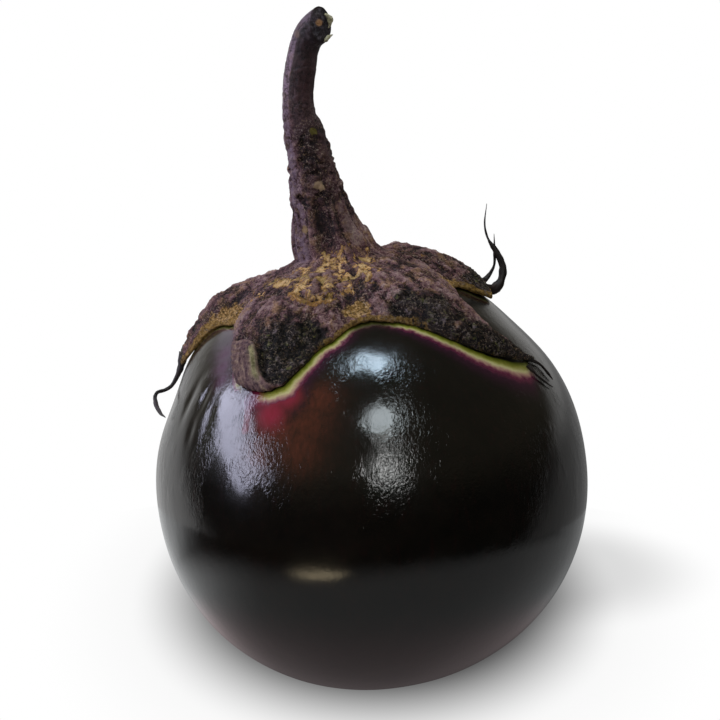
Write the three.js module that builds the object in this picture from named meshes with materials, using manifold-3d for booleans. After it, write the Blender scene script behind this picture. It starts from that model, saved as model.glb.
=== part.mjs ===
// Round eggplant: fruit, calyx and stem. Millimetres, +Z up.
// The origin is the middle of the flat spot that the fruit rests on. The fruit leans towards -X.
// An azimuth is measured round the fruit's own axis from +X towards +Y, and a polar angle down
// from the stem end of that axis. Both are in degrees.
import * as THREE from 'three';
import { mergeVertices } from 'three/addons/utils/BufferGeometryUtils.js';
import Module from 'manifold-3d';

// Fruit
const fruitRadius = 57.5;
const fruitHalfHeight = 54.5;
const shoulderFullness = 2.1;
const lean = 9.3;
const flatDepth = 1.2;
const flatRadius = 11.5;
const fruitColumns = 66;
const fruitRows = 29;

// Where the skin stands out a little or sinks in: azimuth and polar angle, reach and height.
const fruitSwells = [
  [182, 39, 13, 2.4],
  [182, 58, 9, -0.8],
  [2, 36, 9, 1.5],
  [4, 54, 9, -0.5],
];

// Calyx
const gap = 0.3;
const rimThickness = 1.2;
const seatPolar = 11.3;
const seatHeight = 61;
const crownThickness = 7;
const ribStart = 0.5;
const ribRise = 1.9;
const fallPower = 1.5;
const bendPower = 4;
const furrowDepth = 0.45;
const edgeWaves = [[11, 0.35], [17, 0.3], [26, 0.25]];
const calyxTopRows = 9;
const calyxUnderRows = 8;
const columnsPerPoint = 3;

// The outline of the calyx, turning from notch to tip to notch. Each row holds the azimuth where
// a line of growth leaves the stem, the azimuth and polar angle where it meets the rim, how much
// of a rib it carries from 0 in a notch to 1 along a midrib, and how far its end lifts off the skin.
const calyxOutline = [
  [203, 203, 31.3, 0.0, 0.0],
  [212, 219.5, 38, 0.3, 0.1],
  [220, 226.6, 44, 0.6, 0.2],
  [227, 231.5, 48.5, 0.8, 0.3],
  [234, 238.5, 50.2, 0.85, 0.3],
  [241, 247, 48.7, 0.8, 0.2],
  [250, 253.4, 43.8, 0.5, 0.1],
  [262, 264.5, 36.8, 0.25, 0.0],
  [278, 280, 30.9, 0.0, 0.0],
  [291, 296.5, 34.5, 0.2, 0.0],
  [299, 305.5, 40.5, 0.35, 0.1],
  [305, 316.6, 49.3, 0.45, 0.3],
  [310, 326, 55, 0.4, 0.8],
  [314, 336, 59, 0.35, 1.2],
  [318, 332, 55.4, 0.35, 1.0],
  [323, 330.6, 50.9, 0.4, 0.5],
  [329, 326.5, 44, 0.3, 0.3],
  [338, 335, 36.5, 0.2, 0.1],
  [350, 347, 31.3, 0.05, 0.0],
  [359, 353, 33.5, 0.3, 0.2],
  [367, 354, 38.0, 0.55, 0.3],
  [375, 358.5, 40.8, 0.75, 0.5],
  [383, 366, 42, 0.8, 0.8],
  [391, 378, 41.5, 0.75, 0.8],
  [400, 391, 38.5, 0.5, 0.5],
  [410, 404, 35, 0.3, 0.2],
  [421, 421, 31, 0.0, 0.0],
  [434, 436, 36.5, 0.4, 0.1],
  [445, 448, 43, 0.8, 0.6],
  [453, 459, 51, 1.0, 1.6],
  [461, 463, 44, 0.8, 0.6],
  [473, 473, 37, 0.4, 0.1],
  [489, 489, 32, 0.0, 0.0],
  [503, 504, 34.5, 0.5, 0.1],
  [515, 520, 40, 0.9, 0.4],
  [524, 531, 45, 1.0, 0.6],
  [532, 540, 48.8, 1.0, 0.6],
  [540, 545, 43, 0.6, 0.2],
  [549, 546, 35.5, 0.2, 0.1],
];

// Where a sepal arches up or sinks in: azimuth and polar angle, reach and height.
const calyxSwells = [
  [158, 20, 6.5, -1.9],
  [170, 38, 8, -2.2],
  [34, 19.5, 4, 1.1],
];

// Dried tips of the calyx: centrelines measured from the origin, and along each one half of what
// it measures across, seen from the front, and half of what it measures from front to back. First
// the thread of the left sepal, then the two ribbons that the right sepal is split into.
const driedTips = [
  {
    points: [
      [-49.1, 3.5, 87.7],
      [-50.1, 2.5, 83.1],
      [-51.2, 2, 80.7],
      [-52.5, 1.5, 78.8],
      [-54.1, 1, 77.9],
      [-55.8, 0, 77.6],
      [-56.4, -1.5, 76.8],
      [-55.9, -4, 75.1],
      [-54.4, -8, 73.9],
      [-52.7, -12, 73.7],
    ],
    across: [1.3, 0.8, 0.5, 0.45],
    deep: [1.0, 0.8, 0.5, 0.45],
  },
  {
    points: [
      [28.7, 3, 106.1],
      [31.1, 5, 104.6],
      [33.3, 6, 104.3],
      [35.2, 7, 106.3],
      [35.7, 7.5, 110.0],
      [33.8, 7.5, 114.3],
      [31.8, 7.5, 117.3],
      [30.8, 8, 121.0],
      [31.3, 9, 126.6],
    ],
    across: [1.5, 1.45, 1.5, 1.2, 0.9, 0.9, 0.45, 0.4, 0.4],
    deep: [1.0, 0.9, 0.8, 0.7, 0.6, 0.5, 0.45, 0.4, 0.4],
  },
  {
    points: [
      [27.9, 5, 106.1],
      [29.9, 7, 106.0],
      [31.4, 8, 106.8],
      [33.4, 8.2, 110.1],
      [33.5, 8, 113.4],
      [33.3, 8, 118.7],
    ],
    across: [1.3, 1.0, 0.75, 0.45, 0.45, 0.4],
    deep: [1.0, 0.8, 0.7, 0.5, 0.45, 0.4],
  },
];
const tipSides = 8;
const tipSteps = 22;

// Stem: centreline in the fruit's own frame, from its middle, with the radius at each point.
const stemStations = [
  [0.0, 0, 61.3, 11.3],
  [0.0, 0, 63.1, 10.2],
  [-0.8, 0, 66.5, 9.2],
  [-1.2, 0, 72.0, 7.9],
  [-1.55, 0, 77.0, 7.1],
  [-1.8, 0, 83.0, 6.3],
  [-2.15, 0, 89.5, 5.7],
  [-2.4, 0, 94.5, 5.25],
  [-2.8, 0, 98.5, 4.4],
  [-2.45, 0, 103.0, 4.0],
  [-1.2, 0, 108.5, 4.0],
  [0.25, 0, 112.5, 4.0],
  [1.9, -0.1, 116.2, 4.0],
  [3.9, -0.6, 119.2, 4.2],
  [6.4, -1.7, 120.7, 4.1],
];
const stemColumns = 40;
const stemRows = 52;
const stemRidgeCount = 10;
const stemRidgeDepth = 0.7;
const ridgeUnevenness = 0.9;
const ridgeFadeHeight = 92;
const wrinkleDepth = 0.28;
const wrinkleSpacing = 3.1;
const wrinkleSlant = 1.5;
const wrinkleLow = 78;
const wrinkleHigh = 99;
const cutReach = 9;
const cutFacing = new THREE.Vector3(0.78, -0.6, 0.05).normalize();
const pithDepth = 0.7;
const splinterSides = 6;
const splinters = [
  { base: [-11.4, 0.4, 174.6], tip: [-8.9, 1.5, 174.3], radius: 1.3 },
  { base: [-11.6, -1.2, 171.2], tip: [-9.0, 0.0, 171.1], radius: 1.2 },
];

const wasm = await Module();
wasm.setup();

const radians = THREE.MathUtils.degToRad;
const { clamp, lerp, smoothstep } = THREE.MathUtils;

// Distance from the fruit's middle to its skin, at an angle given by its sine and cosine.
function skinDistance(sine, cosine) {
  const across = Math.abs(sine / fruitRadius) ** shoulderFullness;
  const along = Math.abs(cosine / fruitHalfHeight) ** shoulderFullness;
  return (across + along) ** (-1 / shoulderFullness);
}

// A closed solid from rings of points, with one point in the middle of each end.
function solidFromRings(startPoint, rings, endPoint) {
  const columns = rings[0].length;
  const positions = [...startPoint, ...rings.flat(2), ...endPoint];
  const last = 1 + rings.length * columns;
  const index = [];
  for (let column = 0; column < columns; column += 1) {
    const next = (column + 1) % columns;
    index.push(0, 1 + next, 1 + column);
    for (let row = 0; row < rings.length - 1; row += 1) {
      const low = 1 + row * columns;
      const high = low + columns;
      index.push(low + column, low + next, high + next);
      index.push(low + column, high + next, high + column);
    }
    const top = last - columns;
    index.push(top + column, top + next, last);
  }
  const geometry = new THREE.BufferGeometry();
  geometry.setAttribute('position', new THREE.Float32BufferAttribute(positions, 3));
  geometry.setIndex(index);
  return geometry;
}

function manifoldFromGeometry(geometry) {
  const bare = geometry.clone();
  bare.deleteAttribute('normal');
  bare.deleteAttribute('uv');
  const merged = mergeVertices(bare);
  return new wasm.Manifold(new wasm.Mesh({
    numProp: 3,
    vertProperties: new Float32Array(merged.attributes.position.array),
    triVerts: new Uint32Array(merged.index.array),
  }));
}

function geometryFromManifold(solid) {
  const mesh = solid.getMesh();
  const geometry = new THREE.BufferGeometry();
  geometry.setAttribute('position', new THREE.Float32BufferAttribute(mesh.vertProperties, 3));
  geometry.setIndex(new THREE.Uint32BufferAttribute(mesh.triVerts, 1));
  return geometry;
}

function joined(geometries) {
  const solids = geometries.map(manifoldFromGeometry);
  const whole = solids.reduce((sum, solid) => sum.add(solid));
  return geometryFromManifold(whole);
}

// A value read off a short list of numbers, spread evenly from 0 to 1.
function valueAlong(list, fraction) {
  const place = clamp(fraction, 0, 1) * (list.length - 1);
  const before = Math.min(Math.floor(place), list.length - 2);
  return lerp(list[before], list[before + 1], place - before);
}

// How far a ridge stands out at an angle round the stem, from -1 in a furrow to 1.
function ridgeWave(angle) {
  return Math.cos(stemRidgeCount * angle + ridgeUnevenness * Math.sin(2 * angle));
}

// A rod along a curve. Its section lies across the curve, with one axis kept level with Y.
function rodAlong(curve, rows, columns, radiusAt, endInset) {
  const level = new THREE.Vector3(0, 1, 0);
  const rings = [];
  for (let row = 0; row <= rows; row += 1) {
    const fraction = row / rows;
    const middle = curve.getPoint(fraction);
    const along = curve.getTangent(fraction);
    const right = new THREE.Vector3().crossVectors(level, along).normalize();
    const away = new THREE.Vector3().crossVectors(along, right);
    const ring = [];
    for (let column = 0; column < columns; column += 1) {
      const angle = 2 * Math.PI * column / columns;
      const [acrossRadius, awayRadius] = radiusAt(fraction, angle, middle);
      const point = middle.clone();
      point.addScaledVector(right, acrossRadius * Math.cos(angle));
      point.addScaledVector(away, awayRadius * Math.sin(angle));
      ring.push(point.toArray());
    }
    rings.push(ring);
  }
  const start = curve.getPoint(0);
  const end = curve.getPoint(1).addScaledVector(curve.getTangent(1), -endInset);
  return solidFromRings(start.toArray(), rings, end.toArray());
}

// Where the fruit's own axis points, and its middle, set so that the flat spot lies at z = 0.
const leanAngle = radians(lean);
const axis = new THREE.Vector3(-Math.sin(leanAngle), 0, Math.cos(leanAngle));
const sideways = new THREE.Vector3(Math.cos(leanAngle), 0, Math.sin(leanAngle));
const flattening = fruitRadius ** 2 - fruitHalfHeight ** 2;
const footOffset = flattening * axis.z * axis.x / fruitHalfHeight;
const lowestSkin = skinDistance(Math.sin(leanAngle), Math.cos(leanAngle));
const fruitMiddle = new THREE.Vector3(-footOffset, 0, lowestSkin - flatDepth);

// How far a surface is raised or sunk at a place on it, from a list of swells.
function swellAt(swells, azimuth, polar) {
  return swells.reduce((sum, [turn, down, reach, height]) => {
    const level = Math.cos(polar) * Math.cos(radians(down));
    const round = Math.sin(polar) * Math.sin(radians(down)) * Math.cos(azimuth - radians(turn));
    const distance = fruitHalfHeight * Math.acos(clamp(level + round, -1, 1));
    return sum + height * Math.exp(-((distance / reach) ** 2));
  }, 0);
}

// The fruit, in rings from the flat spot up. Its points are found along lines from its middle.
function makeFruit() {
  const lowest = Math.atan2(flatRadius, fruitMiddle.z);
  const rings = [];
  for (let row = 0; row < fruitRows; row += 1) {
    const fromBelow = lerp(lowest, Math.PI, row / fruitRows);
    const ring = [];
    for (let column = 0; column < fruitColumns; column += 1) {
      const turn = 2 * Math.PI * column / fruitColumns;
      const direction = new THREE.Vector3(
        Math.sin(fromBelow) * Math.cos(turn),
        Math.sin(fromBelow) * Math.sin(turn),
        -Math.cos(fromBelow),
      );
      const cosine = clamp(direction.dot(axis), -1, 1);
      const sine = Math.sqrt(1 - cosine ** 2);
      const swell = swellAt(fruitSwells, Math.atan2(direction.y, direction.dot(sideways)), Math.acos(cosine));
      const point = direction.multiplyScalar(skinDistance(sine, cosine) + swell).add(fruitMiddle);
      point.z = row === 0 ? 0 : Math.max(point.z, 0);
      ring.push(point.toArray());
    }
    rings.push(ring);
  }
  const top = skinDistance(Math.sin(leanAngle), Math.cos(leanAngle)) + fruitMiddle.z;
  return solidFromRings([0, 0, 0], rings, [fruitMiddle.x, 0, top]);
}

// One column of the calyx outline, smoothed between the rows of the list.
function outlineAt(place) {
  const count = calyxOutline.length;
  const before = Math.floor(place);
  const fraction = place - before;
  const rows = [-1, 0, 1, 2].map((step) => {
    const number = before + step;
    const turns = Math.floor(number / count);
    const row = calyxOutline[number - turns * count];
    return [row[0] + 360 * turns, row[1] + 360 * turns, row[2], row[3], row[4]];
  });
  const smooth = (item) => {
    const [a, b, c, d] = rows.map((row) => row[item]);
    const slopeStart = (c - a) / 2;
    const slopeEnd = (d - b) / 2;
    const cubed = fraction ** 3;
    const squared = fraction ** 2;
    return (2 * cubed - 3 * squared + 1) * b + (cubed - 2 * squared + fraction) * slopeStart
      + (3 * squared - 2 * cubed) * c + (cubed - squared) * slopeEnd;
  };
  const start = smooth(0);
  const wave = edgeWaves.reduce((sum, [turns, depth]) => {
    return sum + depth * Math.sin(turns * radians(start) + turns);
  }, 0);
  return {
    start,
    azimuth: smooth(1),
    polar: smooth(2) + wave,
    rib: clamp(smooth(3), 0, 1),
    lift: Math.max(0, smooth(4)),
  };
}

// Thickness of the calyx above the skin, where outward is 0 at the stem and 1 at the rim. The
// ridges of the stem run on over it and fade.
function calyxThickness(column, outward, azimuth, polar) {
  const reach = ribStart * column.rib;
  const fall = clamp((outward - reach) / (1 - reach), 0, 1) ** fallPower;
  const crown = crownThickness + ribRise * column.rib * Math.sin(Math.PI * outward ** 2);
  const ridge = furrowDepth * (1 - outward) * ridgeWave(radians(column.start));
  return lerp(crown, gap + rimThickness, fall) + ridge + swellAt(calyxSwells, azimuth, polar);
}

// A point in the fruit's own frame, at a height above the skin.
function pointOverSkin(azimuth, polar, height) {
  const swell = swellAt(fruitSwells, azimuth, polar);
  const distance = skinDistance(Math.sin(polar), Math.cos(polar)) + swell + height;
  return [
    distance * Math.sin(polar) * Math.cos(azimuth),
    distance * Math.sin(polar) * Math.sin(azimuth),
    distance * Math.cos(polar),
  ];
}

// A point of the calyx's upper face, which starts at the seat, or of its underside.
function calyxPoint(column, outward, upper) {
  const azimuth = radians(lerp(column.start, column.azimuth, outward ** bendPower));
  const polar = radians(lerp(upper ? seatPolar : 0, column.polar, outward));
  const thickness = upper ? calyxThickness(column, outward, azimuth, polar) : gap;
  return pointOverSkin(azimuth, polar, thickness + column.lift * outward ** bendPower);
}

// A point of the edge of the seat that the stem stands on.
function seatPoint(azimuth) {
  const radius = stemStations[0][3] + stemRidgeDepth * ridgeWave(azimuth);
  return [radius * Math.cos(azimuth), radius * Math.sin(azimuth), seatHeight];
}

function makeCalyxCap() {
  const columns = [];
  for (let number = 0; number < calyxOutline.length * columnsPerPoint; number += 1) {
    columns.push(outlineAt(number / columnsPerPoint));
  }
  const rings = [];
  for (let row = 1; row <= calyxUnderRows; row += 1) {
    const outward = row / calyxUnderRows;
    rings.push(columns.map((column) => calyxPoint(column, outward, false)));
  }
  for (let row = calyxTopRows; row > 0; row -= 1) {
    const outward = row / calyxTopRows;
    rings.push(columns.map((column) => calyxPoint(column, outward, true)));
  }
  rings.push(columns.map((column) => seatPoint(radians(column.start))));
  const underside = [0, 0, fruitHalfHeight + gap];
  return solidFromRings(underside, rings, [0, 0, seatHeight]);
}

function makeDriedTip(tip) {
  const curve = new THREE.CatmullRomCurve3(tip.points.map((point) => new THREE.Vector3(...point)));
  const radiusAt = (fraction) => {
    return [valueAlong(tip.across, fraction), valueAlong(tip.deep, fraction)];
  };
  return rodAlong(curve, tipSteps, tipSides, radiusAt, 0);
}

// Slants the last stretch of a rod, so that its end faces the given way.
function slantEnd(geometry, curve, facing) {
  const end = curve.getPoint(1);
  const along = curve.getTangent(1);
  const positions = geometry.attributes.position;
  const point = new THREE.Vector3();
  for (let number = 0; number < positions.count; number += 1) {
    point.fromBufferAttribute(positions, number);
    const offset = point.clone().sub(end);
    const before = offset.dot(along);
    const level = offset.addScaledVector(along, -before);
    const share = smoothstep(before, -cutReach, 0);
    point.addScaledVector(along, -share * level.dot(facing) / along.dot(facing));
    positions.setXYZ(number, ...point.toArray());
  }
  return geometry;
}

function makeStemRod() {
  const middles = stemStations.map(([x, y, z]) => new THREE.Vector3(x, y, z));
  const radii = stemStations.map((station) => station[3]);
  const curve = new THREE.CatmullRomCurve3(middles);
  const radiusAt = (fraction, angle, middle) => {
    const ridgeFade = 1 - smoothstep(middle.z, seatHeight, ridgeFadeHeight);
    const ridge = stemRidgeDepth * ridgeFade * ridgeWave(angle);
    const wrinkleUp = smoothstep(middle.z, wrinkleLow, wrinkleLow + wrinkleSpacing);
    const wrinkleDown = 1 - smoothstep(middle.z, wrinkleHigh - wrinkleSpacing, wrinkleHigh);
    const phase = 2 * Math.PI * middle.z / wrinkleSpacing + wrinkleSlant * Math.sin(2 * angle);
    const wrinkle = wrinkleDepth * wrinkleUp * wrinkleDown * Math.cos(phase);
    const radius = valueAlong(radii, fraction) + ridge + wrinkle;
    return [radius, radius];
  };
  return slantEnd(rodAlong(curve, stemRows, stemColumns, radiusAt, pithDepth), curve, cutFacing);
}

function makeSplinter({ base, tip, radius }) {
  const from = new THREE.Vector3(...base);
  const to = new THREE.Vector3(...tip);
  const along = to.clone().sub(from);
  const cone = new THREE.ConeGeometry(radius, along.length(), splinterSides);
  const turn = new THREE.Quaternion();
  turn.setFromUnitVectors(new THREE.Vector3(0, 1, 0), along.clone().normalize());
  cone.applyQuaternion(turn);
  cone.translate(...from.add(to).multiplyScalar(0.5).toArray());
  return cone;
}

function material(color, roughness) {
  return new THREE.MeshStandardMaterial({ color, roughness, metalness: 0 });
}

// The fruit's own frame, and the way back to it for what is given from the origin.
const fruitFrame = new THREE.Group();
fruitFrame.position.copy(fruitMiddle);
fruitFrame.rotation.y = -leanAngle;
fruitFrame.updateMatrixWorld(true);
const toFruitFrame = fruitFrame.matrixWorld.clone().invert();
const inFruitFrame = (geometry) => geometry.applyMatrix4(toFruitFrame);

const fruit = new THREE.Mesh(makeFruit(), material(0x0e0a0d, 0.15));
fruit.name = 'fruit';

const calyxParts = [makeCalyxCap(), ...driedTips.map(makeDriedTip).map(inFruitFrame)];
const calyx = new THREE.Mesh(joined(calyxParts), material(0x46333a, 0.8));
calyx.name = 'calyx';

const stemParts = [makeStemRod(), ...splinters.map(makeSplinter).map(inFruitFrame)];
const stem = new THREE.Mesh(joined(stemParts), material(0x3b2b30, 0.75));
stem.name = 'stem';

fruitFrame.add(calyx, stem);
const eggplant = new THREE.Group();
eggplant.add(fruit, fruitFrame);

export default eggplant;
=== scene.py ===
"""Looks of the round eggplant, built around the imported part.

Blender works in metres, +Z up. Shapes are worked out here in millimetres, from the same values as
in the part's source, and turned into metres when a mesh is made. The origin is the middle of the
flat spot that the fruit rests on, and the photograph is taken from the -Y side.
An azimuth is measured round the fruit's own axis from +X towards +Y, and a polar angle down from
the stem end of that axis.
"""

import itertools
import math
from types import SimpleNamespace

import bpy
import numpy as np
from mathutils import Matrix, Vector
from mathutils.kdtree import KDTree


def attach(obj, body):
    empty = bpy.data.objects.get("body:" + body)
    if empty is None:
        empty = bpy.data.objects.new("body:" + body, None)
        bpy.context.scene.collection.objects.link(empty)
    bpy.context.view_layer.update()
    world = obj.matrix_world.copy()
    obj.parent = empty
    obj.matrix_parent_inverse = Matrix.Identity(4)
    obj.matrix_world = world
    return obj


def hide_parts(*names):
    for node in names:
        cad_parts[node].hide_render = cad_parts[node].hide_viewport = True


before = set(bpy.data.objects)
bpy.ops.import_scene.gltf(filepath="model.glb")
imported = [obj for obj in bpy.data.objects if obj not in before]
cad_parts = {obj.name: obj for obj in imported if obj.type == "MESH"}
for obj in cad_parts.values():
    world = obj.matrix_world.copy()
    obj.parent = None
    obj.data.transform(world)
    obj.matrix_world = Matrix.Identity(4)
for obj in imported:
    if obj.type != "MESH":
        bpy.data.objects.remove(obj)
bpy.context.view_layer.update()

MM = 0.001
SEED = 11

# What brings noise and its creases near to 1 at their highest, and how far apart two layers are read
NOISE_GAIN = 1.6
LAYER_SHIFT = 37

# Fruit. Lengths are in millimetres. A band of the skin runs from one polar angle to another, in
# degrees, and has so many rings.
FRUIT_RADIUS = 57.5
FRUIT_HALF_HEIGHT = 54.5
SHOULDER_FULLNESS = 2.1
LEAN = math.radians(9.3)
FLAT_DEPTH = 1.2
FLAT_EASE = 0.25
SKIN_COLUMNS = 420
SKIN_BANDS = [(0.4, 28, 26), (28, 68, 116), (68, 176, 74), (176, 179.6, 5)]

# Where the skin stands out a little or sinks in: azimuth and polar angle, reach and height.
FRUIT_SWELLS = [(182, 39, 13, 2.4), (182, 58, 9, -0.8), (2, 36, 9, 1.5), (4, 54, 9, -0.5)]

# Calyx. Lengths are in millimetres, and the rest are shares, powers and counts.
GAP = 0.3
RIM_THICKNESS = 1.2
RIM_ROUNDING = 1.1
RIM_EDGE = 0.3
SEAT_POLAR = math.radians(11.3)
SEAT_HEIGHT = 61.15
CROWN_THICKNESS = 7
RIB_START = 0.5
RIB_RISE = 1.9
FALL_POWER = 1.5
BEND_POWER = 4
FURROW_DEPTH = 0.45
EDGE_WAVES = [(11, 0.35), (17, 0.3), (26, 0.25)]
EDGE_NIBBLE = 0.45
COLUMNS_PER_POINT = 16
CALYX_ROWS = 146
ROW_SPREAD = 0.97
UNDER_ROWS = 7
UNDER_START = 0.995
HEM_RIB_WIDTH = 1.15

# The outline of the calyx, turning from notch to tip to notch. Each row holds the azimuth where
# a line of growth leaves the stem, the azimuth and polar angle where it meets the rim, how much
# of a rib it carries from 0 in a notch to 1 along a midrib, and how far its end lifts off the skin.
CALYX_OUTLINE = [
    (203, 203, 31.3, 0.0, 0.0),
    (212, 219.5, 38, 0.3, 0.1),
    (220, 226.6, 44, 0.6, 0.2),
    (227, 231.5, 48.5, 0.8, 0.3),
    (234, 238.5, 50.2, 0.85, 0.3),
    (241, 247, 48.7, 0.8, 0.2),
    (250, 253.4, 43.8, 0.5, 0.1),
    (262, 264.5, 36.8, 0.25, 0.0),
    (278, 280, 30.9, 0.0, 0.0),
    (291, 296.5, 34.5, 0.2, 0.0),
    (299, 305.5, 40.5, 0.35, 0.1),
    (305, 316.6, 49.3, 0.45, 0.3),
    (310, 326, 55, 0.4, 0.8),
    (314, 336, 59, 0.35, 1.2),
    (318, 332, 55.4, 0.35, 1.0),
    (323, 330.6, 50.9, 0.4, 0.5),
    (329, 326.5, 44, 0.3, 0.3),
    (338, 335, 36.5, 0.2, 0.1),
    (350, 347, 31.3, 0.05, 0.0),
    (359, 353, 33.5, 0.3, 0.2),
    (367, 354, 38.0, 0.55, 0.3),
    (375, 358.5, 40.8, 0.75, 0.5),
    (383, 366, 42, 0.8, 0.8),
    (391, 378, 41.5, 0.75, 0.8),
    (400, 391, 38.5, 0.5, 0.5),
    (410, 404, 35, 0.3, 0.2),
    (421, 421, 31, 0.0, 0.0),
    (434, 436, 36.5, 0.4, 0.1),
    (445, 448, 43, 0.8, 0.6),
    (453, 459, 51, 1.0, 1.6),
    (461, 463, 44, 0.8, 0.6),
    (473, 473, 37, 0.4, 0.1),
    (489, 489, 32, 0.0, 0.0),
    (503, 504, 34.5, 0.5, 0.1),
    (515, 520, 40, 0.9, 0.4),
    (524, 531, 45, 1.0, 0.6),
    (532, 540, 48.8, 1.0, 0.6),
    (540, 545, 43, 0.6, 0.2),
    (549, 546, 35.5, 0.2, 0.1),
]

# Where a sepal arches up or sinks in: azimuth and polar angle, reach and height.
CALYX_SWELLS = [(158, 20, 6.5, -1.9), (170, 38, 8, -2.2), (34, 19.5, 4, 1.1)]

# Stem: centreline in the fruit's own frame, from its middle, with the radius at each point.
STEM_STATIONS = [
    (0.0, 0, 61.3, 11.3),
    (0.0, 0, 63.1, 10.2),
    (-0.8, 0, 66.5, 9.2),
    (-1.2, 0, 72.0, 7.9),
    (-1.55, 0, 77.0, 7.1),
    (-1.8, 0, 83.0, 6.3),
    (-2.15, 0, 89.5, 5.7),
    (-2.4, 0, 94.5, 5.25),
    (-2.8, 0, 98.5, 4.4),
    (-2.45, 0, 103.0, 4.0),
    (-1.2, 0, 108.5, 4.0),
    (0.25, 0, 112.5, 4.0),
    (1.9, -0.1, 116.2, 4.0),
    (3.9, -0.6, 119.2, 4.2),
    (6.4, -1.7, 120.7, 4.1),
]
STEM_ROWS = 250
LINE_SAMPLES = 2000
STEM_RIDGE_COUNT = 10
STEM_RIDGE_DEPTH = 0.7
RIDGE_UNEVENNESS = 0.9
RIDGE_FADE_HEIGHT = 92
FLARE_REACH = 4.5
FLARE_CORE = 1.35
FLARE_PASSES = 60
CUT_REACH = 9
CUT_FACING = np.array([0.78, -0.6, 0.05]) / math.hypot(0.78, 0.6, 0.05)
END_ROUNDING = 0.7
PITH_MIDDLE = np.array([-11.8, -2.9, 174.3])
PITH_REACH = np.array([1.8, 1.8, 1.2])
CUT_RAGGEDNESS = 0.3
CUT_SINK = 0.4
END_RING_SHARES = (0.985, 0.95, 0.9, 0.84, 0.77, 0.69, 0.6, 0.5, 0.42, 0.34, 0.26, 0.18, 0.1)

# Pale chips of wood torn out along the cut: a centreline from the origin in millimetres, and half of
# what each measures across, seen from the front, and half of what it measures from front to back.
CHIPS = [
    {"points": [(-11.2, -0.6, 176.3), (-10.3, -0.5, 175.7), (-9.8, -0.4, 174.9), (-9.8, -0.4, 173.8),
                (-10.2, -0.4, 172.8)],
     "across": (0.25, 0.55, 0.65, 0.5, 0.15), "deep": (0.5, 0.7, 0.8, 0.6, 0.3)},
    {"points": [(-11.9, -1.2, 169.3), (-10.9, -1.0, 169.9), (-10.1, -0.8, 170.6), (-9.2, -0.6, 171.1)],
     "across": (0.35, 0.6, 0.55, 0.1), "deep": (0.5, 0.7, 0.5, 0.1)},
]

# Features of the calyx by azimuth and polar angle, in degrees, and patches with their reach in mm
HEM_LINE = [(228.3, 38.4), (232.9, 38.2), (236.6, 39.1), (238.2, 40.8), (239.3, 43), (240.1, 45.4),
            (241.8, 46.9), (243.6, 48.3), (245.9, 48.7), (248.3, 48.6), (250, 47.2)]
STEP_LINE = [(243, 23.5), (247.4, 25), (251, 26.2), (256.3, 27.4), (260, 26.6), (263.2, 25.7), (271.9, 24)]
CORK_PATCHES = [(289, 12.5, 6), (292, 18, 5), (275, 14, 5), (263, 17, 6), (252, 19, 5.5), (258, 22.5, 5),
                (232, 14, 4), (222, 17, 4), (272, 20, 4), (205, 20, 4), (215, 26, 4), (248, 24, 3.5)]
DARK_PATCHES = [(244, 42.5, 5), (248, 45, 5), (252, 41, 5.5), (251, 36, 4.5), (259, 36, 4), (246, 37, 3.5),
                (301, 33, 5), (311, 36, 4), (308, 40, 5.5), (315, 47, 6), (322, 53, 6), (328, 56, 5),
                (335, 58.5, 5), (0, 36.5, 5), (8, 38.5, 5.5), (17, 38, 4), (100, 46, 5), (178, 47, 3)]
HOLLOW_PATCHES = [(247, 41, 4.5)]
WEB_PATCHES = [(201, 29.5, 3.6), (195, 29, 3.4), (190, 31, 3), (187, 34.5, 2.6), (277.5, 28.7, 2.6),
               (281, 27.8, 2.4), (283.5, 29, 1.6), (347, 30, 3), (61, 30, 3.5), (129, 31, 3.5)]

# What changes round the rim, by the place on the outline: how strongly the pale band of newly bared
# skin shows beside it and how wide it is, and how tan the edge of the calyx itself is.
BAND_STRENGTH = [(0, 0.3), (1, 0.6), (1.6, 1), (2.5, 0.8), (3.1, 0), (4.1, 0), (4.5, 1), (7.3, 1), (7.8, 0.2),
                 (8.6, 0.1), (9.2, 1), (12.6, 1), (12.9, 0), (18, 0), (20, 0.1), (23, 0.2), (25, 0.5),
                 (28, 0.8), (29, 0.5), (31, 0.8), (33, 0.4), (35, 0.6), (36, 0.2), (38, 0.2), (39, 0.3)]
BAND_WIDTH = [(0, 0.7), (3, 0.9), (4.5, 1.6), (5.2, 2.0), (6, 1.3), (7.5, 1.0), (9, 0.9), (10.5, 1.4),
              (11.5, 2.0), (12.5, 2.5), (13, 1.6), (20, 0.8), (39, 0.7)]
EDGE_TAN = [(0, 0.9), (1, 0.35), (2, 0.15), (5, 0.1), (6.5, 0.35), (7.5, 0.9), (9, 0.9), (10.2, 0.2),
            (13, 0.25), (16, 0.5), (18, 0.7), (19, 1), (21.3, 1), (23, 0.4), (25, 0.3), (30, 0.3),
            (34, 0.5), (35.5, 0.9), (38.5, 1), (39, 0.9)]

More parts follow.
